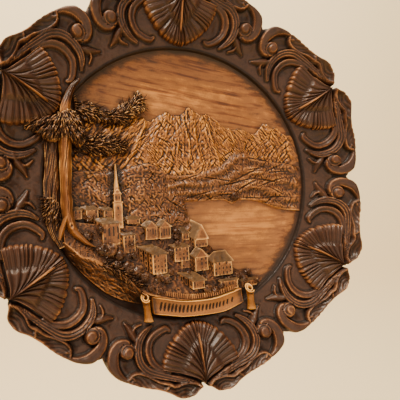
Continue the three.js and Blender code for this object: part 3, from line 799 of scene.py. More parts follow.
mountains = {
    "top": [
        [-88, 42], [-80.5, 44.5], [-72, 43], [-60.5, 45.5], [-50.5, 43], [-41.5, 44.5], [-36, 47.5],
        [-29, 49.5], [-24.5, 46], [-18.5, 48], [-10, 53], [-6, 50.5], [0.5, 51], [7, 57], [11.5, 54],
        [16.5, 52], [22.5, 52.5], [27.5, 49], [34.5, 43], [43, 41], [50.5, 40.5], [57.5, 38], [62.5, 37.5],
        [70.5, 45.5], [75.5, 42.5], [81.5, 41], [88, 36], [94.5, 34],
    ],
    "foot": [
        [-92, 4], [-80.5, 5], [-64, 5], [-43, 6], [-29, 9], [-21.5, 8], [-14.5, 4], [-6, 1], [8.5, 2],
        [21.5, 6], [32.5, 9], [40.5, 16], [46, 19], [52.5, 19], [62, 14], [72, 11], [86.5, 9], [101, 3],
    ],
    "grid": (60, 430, 100), "seed": 11, "lift": 1.9, "peaks": 3.2, "crags": 1.1, "edge": 1.5,
    "strokes": 760, "strokeDepth": 0.72, "strokeWidth": 0.5, "tilt": 0.75,
    "gullies": [(60, (-112, 132), (8, 72), about((0.8, 1.15, 1.95, 2.35), 0.16), (8, 20), 1.2, 0.8)],
}
upright = [math.pi / 2 + lean for lean in (-0.6, -0.3, 0.25, 0.7)]
# swell and crests: height, stretch, size and seed; terraces: height, number, sway, size and seed
hillsides = {
    "lakeSlopes": {
        "top": [
            [-12, 6], [-6, 5], [8.5, 6], [21.5, 10], [32.5, 13.5], [40.5, 21], [46, 23.5], [52.5, 22.5],
            [62, 18], [72, 15], [86.5, 13.5], [100.8, 8],
        ],
        "foot": [
            [-12, -16], [-0.5, -15], [14.5, -14.5], [31.5, -14.5], [39, -17.5], [45.5, -15], [57.5, -16],
            [66, -18.5], [75.5, -22.5], [85, -24.5], [98, -26.3],
        ],
        "grid": (50, 300, 80), "seed": 12,
        "lift": 3.4, "climb": 0.0, "bulge": 1.6, "edge": 1.2, "shore": 1.6,
        "swell": (0.9, 2.2, 17, 100), "terraces": (0.9, 3.3, 0.35, 30, 105), "crests": (0.55, 0.8, 4.5, 110),
        "cuts": [
            (950, (-16, 132), (-36, 32), about(upright, 0.12), (2.5, 6), 0.7, 0.45),
            (26, (-10, 130), (-28, 24), about((0.12, -0.25, 0.35), 0.16), (18, 44), 1.3, 0.7),
        ],
    },
    "woodedHill": {
        "top": [
            [-96, 8], [-80.5, 9.5], [-64.5, 9.5], [-53, 9.5], [-43, 11], [-29, 14.5], [-21.5, 13], [-13, 7],
            [-6, 0], [-1.5, -7], [-0.5, -14.5], [1, -20],
        ],
        "foot": [
            [-96, -36], [-80, -38], [-64, -42], [-53, -44], [-43, -46], [-29, -48], [-21.5, -48], [-13, -48],
            [-6, -46], [-2, -42], [0, -38], [3, -34],
        ],
        "grid": (50, 230, 130), "seed": 13,
        "lift": 4.2, "climb": 2.6, "bulge": 0.0, "edge": 1.3, "shore": 0.0,
        "swell": (1.0, 1.0, 21, 120), "terraces": (0.8, 3.1, 0.5, 34, 125), "crests": (0.8, 1.0, 5.0, 130),
        "cuts": [
            (1050, (-125, 0), (-62, 20), about((0.6, 1.1, 1.6, 2.1, 2.6), 0.2), (2.5, 6.5), 0.75, 0.48),
            (24, (-122, -6), (-40, 14), about((0.5, 0.9, 2.2, 2.6), 0.16), (10, 22), 1.1, 0.7),
        ],
    },
}


def makeMountains():
    x, y, share = sheet(mountains)
    jag = 0.9 * softNoise(x, y * 0, 3.1, 61) + 0.5 * softNoise(x, y * 0, 1.3, 62)
    y = y + jag * (1 - share) ** 3
    lean = x + 0.55 * y * np.tanh((x - 10) / 30)
    peaks = mountains["peaks"] * ridges(lean, y * 0.45, 15, 70, 2)
    crags = mountains["crags"] * ridges(lean, y * 0.7, 5.2, 80, 3)
    h = mountains["lift"] + peaks * (1 - 0.35 * share) + crags
    h -= mountains["edge"] * np.exp(-share * 30)
    rng = np.random.default_rng(mountains["seed"])
    top, foot = picturePath(mountains["top"]).T, picturePath(mountains["foot"]).T
    strokes = []
    for _ in range(mountains["strokes"]):  # down the flanks, leaning to either side
        cx, t = rng.uniform(-112, 125), rng.uniform(0.03, 0.97)
        high, low = np.interp(cx, *top), np.interp(cx, *foot)
        side = np.sign(softNoise(np.array([cx]), np.array([t * 30.0]), 22, 90)[0])
        turn = math.pi / 2 + mountains["tilt"] * side + rng.normal(0, 0.14)
        strokes.append((cx, high + (low - high) * t, turn, rng.uniform(5, 12)))
    cutStrokes(x, y, h, strokes, mountains["strokeDepth"], mountains["strokeWidth"])
    gouge(x, y, h, rng, mountains["gullies"])
    return slab("farMountains", x, y, onDish(x, y, h), dishHeight(x, y) - 3, wood["mountain"], 2)


def makeHillside(name, hill):
    x, y, share = sheet(hill)
    height, stretch, size, seed = hill["swell"]
    h = hill["lift"] + hill["climb"] * share + hill["bulge"] * np.sin(math.pi * share)
    h += height * layeredNoise(x, y * stretch, size, seed)
    height, count, sway, size, seed = hill["terraces"]
    h += height * np.sin(math.tau * (count * share + sway * softNoise(x, y * 0, size, seed)))
    height, stretch, size, seed = hill["crests"]
    h += height * ridges(x, y * stretch, size, seed, 3)
    h -= hill["edge"] * np.exp(-share * 30) + hill["shore"] * ramp(share - 0.93, 0.07)
    gouge(x, y, h, np.random.default_rng(hill["seed"]), hill["cuts"])
    return slab(name, x, y, onDish(x, y, h), dishHeight(x, y) - 3, wood["slope"], 2)


pieces += [makeMountains()] + [makeHillside(name, hill) for name, hill in hillsides.items()]
print("mountains and slopes made")

# Village ground and rock ledge

groundPoints = np.array([  # x, y and height of the ground, climbing towards the viewer
    [-125, -34, 24], [-85, -36, 20], [-42, -40, 17], [8, -48, 14], [-112, -55, 27], [-80, -56, 23],
    [-42, -58, 19.5], [17, -67, 14.5], [-98, -72, 31], [-60, -78, 26], [-31, -81, 23], [33, -89, 16],
    [-80, -89, 32.5], [-45, -98, 29], [-11, -100, 26], [69, -108, 17], [-55, -109, 32], [-25, -115, 30],
    [6, -118, 28], [45, -114, 23], [78, -116, 18],
], float)
brow = [  # where the ground breaks off to the rock
    [-81.5, -44], [-76.5, -49], [-70.5, -50.5], [-64.5, -54.5], [-57.5, -57.5], [-50.5, -62], [-44.5, -68.5],
    [-39, -75],
]
ground = {
    "top": [
        [-88, -24], [-72, -27], [-55, -29], [-38, -31], [-22, -33], [-8, -35], [2, -37], [14, -42], [22, -52],
        [30, -62], [42, -70], [52, -73], [64, -75],
    ],
    "foot": [[-87, -39], *brow, [-30, -79.5], [-10, -84.5], [15, -85.5], [40, -82], [60, -79]],
    "grid": (60, 260, 120), "seed": 14, "swell": 0.5, "crests": 0.45, "shore": 4.5,
    "cuts": [(900, (-120, 85), (-122, -35), anyWay, (2, 5), 0.6, 0.5)],
}
ledge = {
    "top": [[-87.5, -38.5], *brow, [-33.5, -79]],
    "foot": [
        [-89.5, -41], [-84.5, -50], [-79, -57], [-74, -63], [-67.5, -69.5], [-60.5, -75.5], [-52, -80.5],
        [-43, -84], [-36, -86], [-31, -87],
    ],
    "grid": (50, 240, 46), "seed": 15, "facets": 1.5,
    "cuts": [(420, (-125, -44), (-122, -50), about([-0.75], 0.25), (4, 11), 0.8, 0.6)],
}


def terrainHeight(x, y):  # a smooth surface through the ground's points
    px, py, heights = groundPoints.T
    size = len(groundPoints)
    system = np.zeros((size + 3, size + 3))
    system[:size, :size] = np.hypot(px[:, None] - px, py[:, None] - py)
    system[:size, size:] = np.column_stack([np.ones(size), px, py])
    system[size:, :size] = system[:size, size:].T
    weight = np.linalg.solve(system, np.concatenate([heights, np.zeros(3)]))
    h = weight[size] + weight[size + 1] * x + weight[size + 2] * y
    for k in range(size):
        h = h + weight[k] * np.hypot(x - px[k], y - py[k])
    return h


def makeGround():
    x, y, share = sheet(ground)
    h = terrainHeight(x, y) + ground["swell"] * layeredNoise(x, y, 9, 140)
    h += ground["crests"] * ridges(x, y, 4, 150, 3)
    gouge(x, y, h, np.random.default_rng(ground["seed"]), ground["cuts"])
    h -= ground["shore"] * np.exp(-share * 14) * ramp(x - 8, 12)
    return slab("villageGround", x, y, h, dishHeight(x, y) - 3, wood["ground"], 2)


def makeLedge():
    x, y, share = sheet(ledge)
    top, foot = terrainHeight(x, y)[:1], groundHeight(np.hypot(x, y))
    fall = np.interp(share, [0, 0.12, 0.45, 0.8, 1], [1.0, 1.0, 0.72, 0.3, 0.02])
    facet = ridges(x + 0.6 * y, y - 0.2 * x, 8, 160, 3) * np.interp(share, [0, 0.2, 0.8, 1], [0.5, 1, 1, 0.2])
    h = foot + (top + 1.2 - foot) * fall + ledge["facets"] * facet
    gouge(x, y, h, np.random.default_rng(ledge["seed"]), ledge["cuts"])
    return slab("rockLedge", x, y, np.maximum(h, foot - 1), foot - 4, wood["ground"])


pieces += [makeGround(), makeLedge()]
print("ground made")

# Houses and the church

# near corner x and y; front, side and wall in hundredths of the lip's radius; roof rise; corner height;
# ridge along the front; windows across the front, across the side and up the wall
houses = [
    (-31.5, -41, 8, 2.5, 8.5, 4.5, 21.8, False, 4, 0, 1),
    (-21.5, -41, 8, 2.5, 8.5, 4.5, 21.8, False, 4, 0, 1), (-62, -43, 12, 6, 15, 2, 25, True, 4, 3, 1),
    (-48, -49, 8, 3, 12, 1, 25, True, 3, 1, 4), (-31, -41, 18, 1, 8, 1.5, 21, True, 9, 1, 2),
    (-29, -65, 10, 9, 14, 2.5, 30, True, 4, 3, 4), (-12, -58, 11, 3, 10, 2, 24, True, 4, 2, 3),
    (5, -49, 10, 6, 6, 11, 19, False, 4, 2, 2), (-4, -43, 5, 5, 5, 3, 18, True, 2, 2, 1),
    (3, -66, 10, 3, 10, 6, 25, False, 3, 2, 3), (18, -71, 15, 4, 10, 7, 22, True, 5, 2, 3),
    (-1, -78, 9, 9, 6, 3, 31, True, 4, 3, 1), (-26, -70, 8, 1, 3, 1, 30, True, 3, 1, 1),
    (21, -81, 14, 1, 6, 1.5, 28, True, 5, 1, 1), (40, -81, 13, 2, 4, 1.5, 21, True, 5, 1, 1),
    (-7, -63, 8, 1, 6, 1.5, 23, True, 3, 1, 2), (-60, -25, 6, 3, 6, 2, 20, True, 2, 1, 2),
    (-44, -29, 9, 2, 3, 2, 19, True, 3, 1, 1), (-72, -25, 8, 3, 7, 2, 21, True, 3, 1, 2),
    (-80, -24, 5, 2, 6, 2, 21, True, 2, 1, 2),
]
frontRun = np.array([1, 0.02, -0.1])
sideRun = np.array([-1, 0.6, -0.45])
house = {
    "root": np.array([0, 0, -11.0]), "eaves": 0.06, "roofEdge": np.array([0, 0.9, 0]), "pane": (0.23, 0.35),
}
boxFaces = [[3, 2, 1, 0], [0, 1, 5, 4], [1, 2, 6, 5], [2, 3, 7, 6], [3, 0, 4, 7]]
prismFaces = [[0, 1, 2], [5, 4, 3], [0, 3, 4, 1], [1, 4, 5, 2], [2, 5, 3, 0]]
# frames a little lighter; the sunk panes darkened with painted shade
windowWearAndPaneShade = np.array([0.1] * 12 + [-1.6] * 4)


def hullBox(corners):  # eight corners, lower four then upper four, each four in a ring
    return np.array(corners), [*boxFaces, [4, 5, 6, 7]]


def carvedFlat(piece, cuts=5, unevenness=0.22):  # finer faces, cut by hand rather than ruled
    shape = bmesh.new()
    shape.from_mesh(piece.data)
    bmesh.ops.subdivide_edges(shape, edges=shape.edges, cuts=cuts, use_grid_fill=True)
    bmesh.ops.triangulate(shape, faces=[f for f in shape.faces if len(f.verts) > 4])
    shape.to_mesh(piece.data)
    shape.free()
    places = meshPlaces(piece)
    for k, (column, way) in enumerate(((0, 1), (2, -1), (1, 1))):
        x, y, h = places.T
        places[:, column] += way * unevenness * layeredNoise(x + 31 * k, y - 0.7 * h, 3.5, 600 + k, 2)
    setPlaces(piece, places)
    piece.data.polygons.foreach_set("use_smooth", [False] * len(piece.data.polygons))
    return piece


def houseParts(x, y, front, side, wall, roof, top, alongFront, across, back, up):
    near = np.array([x * unit, y * unit, top])
    o = house["eaves"]

    def corner(a, b, height, root=0):
        place = near + a * front * unit * frontRun + b * side * unit * sideRun
        return place + np.array([0, height * unit, 0]) + root * house["root"]

    feet = ((0, 0), (1, 0), (1, 1), (0, 1))
    walls = hullBox([corner(a, b, height, b) for height in (0, wall) for a, b in feet])
    eaves = [corner(a, b, wall) for a, b in ((-o, -o * 2), (1 + o, -o * 2), (1 + o, 1 + o), (-o, 1 + o))]
    if alongFront:
        inset = 0.18 if roof > 1.8 else 0.02
        ridge = [corner(inset, 0.5, wall + roof), corner(1 - inset, 0.5, wall + roof)]
        slopes = [[4, 5, 9, 8], [5, 6, 9], [6, 7, 8, 9], [7, 4, 8]]
    else:
        ridge = [corner(0.5, -o * 2, wall + roof), corner(0.5, 1 + o, wall + roof)]
        slopes = [[4, 5, 8], [5, 6, 9, 8], [6, 7, 9], [7, 4, 8, 9]]
        face = [corner(a, -3 * o, height) for a, height in ((0, wall), (1, wall), (0.5, wall + roof))]
    covers = np.array([*eaves, *[place + house["roofEdge"] for place in eaves], *ridge])
    wide, tall = house["pane"]
    tall = [0, wall * unit / up * tall, 0]
    windows = []
    for count, run, length, way in ((across, frontRun, front, 1), (back, sideRun, side, -1)):
        out = np.cross(run, [0, way, 0])
        out = out / np.linalg.norm(out)
        for i in range(count):
            for j in range(up):
                along = (i + 0.5) / count
                a, b = (along, 0) if run is frontRun else (0, along)
                middle = corner(a, b, wall * (j + 0.55) / up)
                windows.append([middle, run * length * unit / count * wide, tall, out])
    walls = [walls]
    if not alongFront:
        walls.append((np.array([*face, *[place + 0.5 * sideRun for place in face]]), prismFaces))
    return walls, (covers, boxFaces + slopes), windows


def windowShape():  # a sunk pane in a raised frame
    square = ((-1, -1), (1, -1), (1, 1), (-1, 1))
    rings = ((1.25, -0.2), (1.25, 0.28), (0.85, 0.28), (0.85, 0.02))
    points = [(size * a, size * b, height) for size, height in rings for a, b in square]
    return np.array(points), ringFaces(4, 4) + [[12, 13, 14, 15], [3, 2, 1, 0]]


def makeVillage():
    walls, roofs, windows = [], [], []
    for row in houses:
        body, roof, panes = houseParts(*row)
        walls += body
        roofs.append(roof)
        windows += panes
    made = [
        joinParts("villageWalls", walls, wood["village"], False),
        joinParts("villageRoofs", roofs, wood["roof"], False),
    ]
    made = [carvedFlat(piece) for piece in made]
    return made + [scatter("villageWindows", windowShape(), windows, wood["village"], windowWearAndPaneShade)]


church = {
    "x": -50.5 * unit, "height": 23.0, "back": 3.0,
    "storeys": [  # half width, foot, top and how far forward
        (4.1, -44, -19, 0), (4.7, -19.6, -18.4, 0.7), (3.3, -18.4, -11, -0.2), (3.8, -11.4, -10.4, 0.4),
    ],
    "gable": [(-3.6, -10.4), (3.6, -10.4), (0, -5.4)],
    "spire": [(-2.6, -2.4), (-1.1, -0.3), (1.1, -0.3), (2.6, -2.4), (2.2, -15), (-2.2, -15)],
    "spireRings": [(1, -8.4, 1), (0.42, 5.0, 0.92), (0.08, 19.0, 0.8)],
    "windows": [
        (-1.5, -14.6, 0.6, 1.9), (1.5, -14.6, 0.6, 1.9), (0, -24.5, 0.7, 1.3), (0, -31, 0.7, 1.3),
        (0, -8.6, 0.6, 0.6),
    ],
    "glow": 1.1, "shade": 0.55,
}


def makeChurch():
    x, top, back = church["x"], church["height"], church["back"]
    parts = []
    for half, low, high, forward in church["storeys"]:
        front = top + forward
        ring = [(x - half, front), (x + half, front - 0.3), (x + half, back), (x - half, back)]
        parts.append(hullBox([(px, level, ph) for level in (low, high) for px, ph in ring]))
    gable = [(x + px, py, ph) for ph in (top, 6.0) for px, py in church["gable"]]
    parts.append((np.array(gable), prismFaces))
    spire = []
    for width, level, depth in church["spireRings"]:
        spire += [(x + px * width, level, 8 + (top + ph - 8) * depth) for px, ph in church["spire"]]
    parts.append((np.array(spire), [[5, 4, 3, 2, 1, 0], [12, 13, 14, 15, 16, 17]] + ringFaces(3, 6)))
    tower = carvedFlat(joinParts("churchTower", parts, wood["village"], False), 4, 0.15)
    setNumbers(tower, "glow", church["glow"] * ramp(meshPlaces(tower)[:, 1] + 8, 5))
    windows = [
        [(x + px, py, top - 0.2), (width, 0, 0), (0, height, 0), (0, 0, 1.2)]
        for px, py, width, height in church["windows"]
    ]
    return [tower, scatter("churchWindows", windowShape(), windows, wood["village"], windowWearAndPaneShade)]


def shadeBehindChurch(piece):  # painted shade darkens the ground round the tower
    x, y, _ = meshPlaces(piece).T
    shade = church["shade"] * np.exp(-((x - church["x"]) / 7) ** 4)
    setNumbers(piece, "inkAndShade", shade * ramp(y + 44, 12) * ramp(24 - y, 6))


pieces += makeVillage() + makeChurch()
for piece in pieces:
    if piece.name in ("farMountains", "woodedHill"):
        shadeBehindChurch(piece)
print("village made")

# Round trees and their leaves

bushes = [  # x, y and radius in mm, and the height of the crown
    (-80, -66, 8.5, 32), (-72, -70, 5, 33), (-65, -82, 6.5, 33), (-56, -86, 6, 33), (-50, -92, 5, 33),
    (-88, -63, 5, 33), (57, -17, 4.6, 17.5), (15, -110, 4.5, 31), (22, -113, 4.5, 31), (-12, -50, 3.2, 20),
    (-12, -56, 3.4, 20.5), (-22, -90, 3.5, 29), (-27, -97, 3.5, 31), (11, -99, 3.5, 29), (-4, -93, 3, 28),
    (52, -101, 4, 22), (60, -105, 3.5, 21), (-100, -50, 5, 29), (-58, -71, 3.5, 28), (-97, -33, 4, 24),
    (-20, -70, 3, 25), (-35, -94, 4, 31), (72, -108, 4, 20), (-60, -60, 3, 26), (-13, -63, 3, 24),
    (-88, -44, 3.5, 27), (-108, -47, 4, 29), (-75, -78, 4.5, 33.5), (-43, -104, 3.5, 33),
    (-34, -107, 3.5, 32.5), (30, -108, 3, 29), (-1, -104, 3, 30), (40, -103, 3, 26), (66, -98, 3, 19),
]
bush = {"rows": 13, "columns": 20, "flat": 0.8, "lump": 0.17, "knob": 0.11, "leavesPerMm": 9, "seed": 21}


def bushParts(cx, cy, size, crown, seed):
    rows, cols, flat = bush["rows"], bush["columns"], bush["flat"]
    lat = np.linspace(0, math.pi, rows)[1:-1, None]
    lon = np.linspace(0, math.tau, cols + 1)[None, :-1]
    nx, ny, nz = np.sin(lat) * np.cos(lon), np.sin(lat) * np.sin(lon), np.cos(lat) + 0 * lon
    lump = 1 + bush["lump"] * softNoise(nx * 6 + cx, ny * 6 + cy + nz * 3, 1.6, seed)
    lump = lump + bush["knob"] * softNoise(nx * 9 + nz * 5, ny * 9, 1.1, seed + 1)
    level = crown - size * flat
    ring = np.stack([cx + size * nx * lump, cy + size * ny * lump, level + size * flat * nz * lump], -1)
    points = np.concatenate([[[cx, cy, crown]], ring.reshape(-1, 3), [[cx, cy, crown - 2 * flat * size]]])
    index = 1 + np.arange((rows - 2) * cols).reshape(rows - 2, cols)
    wrap = np.concatenate([index, index[:, :1]], 1)
    faces = gridFaces(wrap.T)
    last = len(points) - 1
    for k in range(cols):
        faces += [[0, wrap[0, k], wrap[0, k + 1]], [last, wrap[-1, k + 1], wrap[-1, k]]]
    return points, faces


def bladeShape(foot, crest, tip):  # a small pointed leaf or needle with three sides
    points = np.array([(-0.5, 0, foot), (0.5, 0, foot), (0, 0, crest), (0, 1, tip)])
    return points, [[0, 1, 2], [1, 3, 2], [3, 0, 2], [0, 3, 1]]


def makeBushes():
    body = joinParts("roundTrees", [bushParts(*b, 200 + k) for k, b in enumerate(bushes)], wood["pine"])
    rng = np.random.default_rng(bush["seed"])
    flat = bush["flat"]
    places = []
    for cx, cy, size, crown in bushes:
        for _ in range(int(bush["leavesPerMm"] * size)):
            a, z = rng.uniform(0, math.tau), rng.uniform(0.15, 0.98)
            q = math.sqrt(1 - z * z)
            n = np.array([q * math.cos(a), q * math.sin(a), z])
            spot = np.array([cx, cy, crown - size * flat]) + size * 1.04 * n * [1, 1, flat]
            along = np.cross(n, rng.normal(size=3))
            along = along / np.linalg.norm(along) * rng.uniform(1.3, 2.6)
            wide = np.cross(along, n) * rng.uniform(0.35, 0.6)
            places.append([spot, wide, along + 0.7 * n, n * 1.2])
    leaf = bladeShape(-0.3, 0.35, 0.1)
    return [body, scatter("treeLeaves", leaf, places, wood["pine"], np.array([-0.1, -0.1, 0.35, 0.55]))]


pieces += makeBushes()
print("trees made")

# The pine: trunks, boughs and needles

trunks = {  # the path's third and fourth columns are width and height in mm
    "main": {
        "path": [
            [-73, 71, 3, 28], [-77, 67, 5, 28], [-80.5, 60, 7, 29], [-83, 50, 10, 31], [-84, 32, 11.5, 31],
            [-84, 15, 11.5, 31], [-84.5, -7, 11, 31], [-84, -21, 11, 32], [-81, -31, 9.5, 33],
            [-75, -38, 7, 33], [-70.5, -41.5, 3.5, 32.5], [-67.5, -43, 1, 31],
        ],
        "seed": 400, "columns": 34, "bark": 0.8, "knots": [55, 118],
    },
    "stub": {
        "path": [[-84, -20, 5, 32], [-88, -30, 5, 32], [-90, -37, 3, 31]],
        "seed": 420, "columns": 16, "bark": 0.4, "knots": [],
    },
    "rear": {
        "path": [
            [-92, 42, 10, 24], [-92.5, 30, 13, 25], [-93, 14, 13, 25], [-94, -7, 13, 25.5],
            [-93, -28, 12, 26.5], [-88, -42, 7, 27],
        ],
        "seed": 440, "columns": 40, "bark": 1.7, "knots": [],
    },
}
boughs = {  # each mass of needles: its edges, the height of its middle, and where its needles fan out from
    "upperBough": {
        "top": [
            [-77, 60], [-70, 58], [-64, 56.5], [-58, 53], [-51, 53], [-44, 57], [-37, 61], [-31, 67],
            [-27, 60],
        ],
        "foot": [
            [-76, 47], [-68, 44], [-61, 43], [-54, 43], [-47, 42.5], [-42, 42], [-37, 46.5], [-32, 49.5],
            [-25.5, 56],
        ],
        "crown": 21, "fan": None, "needles": 120,
    },
    "lowerBough": {
        "top": [
            [-79, 36], [-72, 34.5], [-66, 34], [-61, 35.5], [-54, 35], [-48, 33.5], [-43, 30], [-40.5, 27],
        ],
        "foot": [
            [-78, 24], [-72, 23], [-66, 20.5], [-62, 19], [-57, 20], [-51, 21], [-45, 22.5], [-40.5, 25.5],
        ],
        "crown": 21, "fan": None, "needles": 120,
    },
    "rimBough": {
        "top": [
            [-109, 46], [-104, 46], [-98, 45], [-92, 44], [-87, 47], [-83, 50], [-79, 50], [-75, 46],
            [-71.5, 38],
        ],
        "foot": [
            [-109, 36], [-103, 34], [-97, 30], [-91, 29], [-87, 30], [-82, 30], [-78, 27], [-75, 25],
            [-71, 29],
        ],
        "crown": 34, "fan": (-84, 53), "needles": 120,
    },
    "hedge": {
        "top": [[-63, -53], [-55, -55], [-48, -60], [-42, -66], [-35, -71]],
        "foot": [[-65, -57], [-57, -61.5], [-50, -66.5], [-43, -73], [-37, -76]],
        "crown": 36.5, "fan": None, "needles": 80,
    },
    "sideTuft": {
        "top": [[-101, -7], [-97, -6], [-93, -8], [-89, -14], [-87, -20]],
        "foot": [[-101, -17], [-99, -24], [-95, -31], [-91, -33], [-87, -28]],
        "crown": 29, "fan": (-88, -8), "needles": 80,
    },
}
needles = {"grid": (40, 130, 50), "seed": 31, "cuts": 420, "cutDepth": 1.5, "cutWidth": 0.42, "swell": 5.0}
needleWear = np.array([-0.5, -0.5, 0.06, -0.08])


def trunkParts(trunk):
    path, seed = picturePath(trunk["path"], 170), trunk["seed"]
    px, py, width, height = (path[:, k:k + 1] for k in range(4))
    step = np.gradient(path[:, :2], axis=0)
    across = np.stack([step[:, 1], -step[:, 0]], 1)
    across /= np.linalg.norm(across, axis=1)[:, None]
    v = np.linspace(-1, 1, trunk["columns"])[None]
    wobble = 1 + 0.08 * softNoise(py, py * 0, 9, seed)
    x = px + across[:, :1] * v * width / 2 * wobble
    y = py + across[:, 1:] * v * width / 2 * wobble
    floor = groundHeight(np.hypot(x, y))
    crown = np.sqrt(np.clip(1 - v ** 2, 0, 1))
    h = floor + (height - floor) * (0.35 + 0.65 * crown)
    split = v * 9 + 0.12 * py + softNoise(py, v * 3, 14, seed + 1)
    h = h + trunk["bark"] * ridges(split, py * 0.11, 2.3, seed + 2, 2)
    for k in trunk["knots"]:
        near = np.hypot(x - path[k, 0], (y - path[k, 1]) * 0.7)
        h += 0.5 * bell(near - 1.6, 0.8) - 0.8 * bell(near, 1.0)
    return slabParts(x, y, h, floor - 3)


def makeBough(name, bough, order, rng):
    count, columns, rows = needles["grid"]
    x, y, share = sheet({**bough, "grid": needles["grid"]})
    ragged = 1.6 * softNoise(x, y * 0, 3.2, 300 + order) + 0.8 * softNoise(x, y * 0, 1.4, 310 + order)
    y = y + ragged * (2 * share - 1)
    t = np.linspace(0, 1, columns)[None]
    swell = np.sin(math.pi * share) ** 0.5 * ramp(np.minimum(t, 1 - t), 0.08) ** 0.5
    floor = groundHeight(np.hypot(x, y))
    base = np.maximum(floor + 3, bough["crown"] - 4)
    h = base + needles["swell"] * swell + 1.3 * ridges(x, y, 6, 320 + order, 3) - 1.0
    middle = (picturePath(bough["top"], count) + picturePath(bough["foot"], count)) / 2

    def lieOf(i, j):  # the way the needles lie there
        if bough["fan"]:
            fanX, fanY = bough["fan"]
            return math.atan2(y[i, j] - fanY * unit, x[i, j] - fanX * unit) + rng.normal(0, 0.15)
        k = min(int(j / columns * count), count - 2)
        return np.arctan2(*(middle[k + 1] - middle[k])[::-1]) + 0.85 - 1.7 * share[i, j] + rng.normal(0, 0.15)

    strokes = []
    for _ in range(needles["cuts"]):
        i, j = rng.integers(0, rows), rng.integers(0, columns)
        strokes.append((x[i, j], y[i, j], lieOf(i, j), rng.uniform(4, 8)))
    cutStrokes(x, y, h, strokes, needles["cutDepth"], needles["cutWidth"])
    mass = slab(name, x, y, h, floor - 2, wood["pine"])
    places = []
    for _ in range(bough["needles"]):
        i, j = rng.integers(1, rows - 1), rng.integers(1, columns - 1)
        run = lieOf(i, j)
        along = np.array([math.cos(run), math.sin(run), rng.uniform(-0.03, 0.06)]) * rng.uniform(5.5, 9.5)
        wide = np.cross(along, [0, 0, 1.0])
        wide = wide / np.linalg.norm(wide) * rng.uniform(0.9, 1.3)
        places.append([(x[i, j], y[i, j], h[i, j] - 0.1), wide, along, (0, 0, 1.0)])
    needle = bladeShape(0, 0.8, 0.3)
    return [mass, scatter(name + "Needles", needle, places, wood["pine"], needleWear, 50 + order)]


def makePine():
    trunk = joinParts("pineTrunk", [trunkParts(trunks["main"]), trunkParts(trunks["stub"])], wood["trunk"])
    # painted shade: the trunk darkens towards its top, where it runs up to the lip
    setNumbers(trunk, "glow", -0.9 * ramp(meshPlaces(trunk)[:, 1] - 74, 8))
    made = [trunk, joinParts("rearTrunk", [trunkParts(trunks["rear"])], wood["bark"])]
    rng = np.random.default_rng(needles["seed"])
    for order, (name, bough) in enumerate(boughs.items()):
        made += makeBough(name, bough, order, rng)
    return made


pieces += makePine()
print("pine made")

# The title ribbon, with rolled ends and a row of strokes that are not letters

ribbon = {
    "top": [[-31, -80], [-21.5, -82.5], [-11, -85], [0, -86], [11, -86], [21.5, -84.5], [36, -81]],
    "foot": [[-30, -92], [-20, -94], [-9.5, -96], [2, -96.5], [13, -96.5], [23.5, -95.5], [37, -91]],
    "grid": (40, 330, 60), "height": 31.0, "strokes": 20, "firstStroke": 16, "strokeRun": 168, "lean": 1.35,
    "tallest": 9.4, "lowest": 5.6, "strokeDepth": 1.0, "strokeWidth": 0.75, "strokeInk": 1.15, "endShadow": 0.4,
}
rolled = {  # where each end is rolled up, from top to foot, and how far out
    "ends": [([-36.5, -79.5], [-33.5, -97], 4.3), ([41.5, -80.5], [45, -97.5], 4.6)],
    "turns": 1.6, "points": 66, "rows": 16, "tighten": 0.34, "thickness": 0.8,
}


def makeRibbon():
    x, y, share = sheet(ribbon)
    t = np.linspace(0, 1, x.shape[1])[None]
    h = ribbon["height"] - 1.0 * (1 - np.sin(math.pi * t)) + 0.35 * np.cos(math.tau * share)
    h = h + 0.5 * bell(share - 0.04, 0.05) + 0.5 * bell(share - 0.96, 0.05)
    h = h + 0.12 * layeredNoise(x, y, 5, 500)
    path = smoothPath((picturePath(ribbon["top"], 40) + picturePath(ribbon["foot"], 40)) / 2, 200)
    strokes = []
    for k in range(ribbon["strokes"]):  # evenly spaced and parallel, lower towards the right
        along = (k + 0.5) / ribbon["strokes"]
        length = ribbon["tallest"] + (ribbon["lowest"] - ribbon["tallest"]) * along
        place = path[int(ribbon["firstStroke"] + ribbon["strokeRun"] * along)]
        strokes.append((*place, ribbon["lean"], length))
    cut = np.zeros(h.shape)
    cutStrokes(x, y, cut, strokes, ribbon["strokeDepth"], ribbon["strokeWidth"])
    piece = slab("titleRibbon", x, y, h + cut, groundHeight(np.hypot(x, y)) - 3, wood["ribbon"])
    inkAndShade = np.zeros(len(piece.data.vertices))
    # painted shadow darkens both ends, where the ribbon runs under the rolls; the cut strokes are inked
    ends = ribbon["endShadow"] * (bell(t, 0.05) + bell(1 - t, 0.05))
    inkAndShade[:cut.size] = (ends - ribbon["strokeInk"] * cut).ravel()
    setNumbers(piece, "inkAndShade", inkAndShade)
    return piece


def rollParts(top, foot, radius):
    a, b = np.array(top) * unit, np.array(foot) * unit
    turn = np.linspace(0, math.tau * rolled["turns"], rolled["points"])
    reach = radius * (1 - rolled["tighten"] * turn / math.tau)
    section = np.stack([reach * np.cos(turn + 0.6), reach * np.sin(turn + 0.6)], 1)
    inner = section * (1 - rolled["thickness"] / reach[:, None])
    loop = np.concatenate([section, inner[::-1]])
    rows = []
    for s in np.linspace(0, 1, rolled["rows"]):
        across, out = (loop * (0.82 + 0.32 * (2 * s - 1) ** 2)).T
        c = a + (b - a) * s
        height = ribbon["height"] + 3.0 - 9 * s + out
        rows.append(np.stack([c[0] + across, c[1] - out * max(0, 0.95 - 3.5 * s), height], 1))
    faces = ringFaces(rolled["rows"], len(loop))
    for start in (0, len(loop) * (rolled["rows"] - 1)):
        outside = start + np.arange(len(turn))
        faces += gridFaces(np.stack([outside, start + len(loop) - 1 - np.arange(len(turn))]))
    return np.concatenate(rows), faces


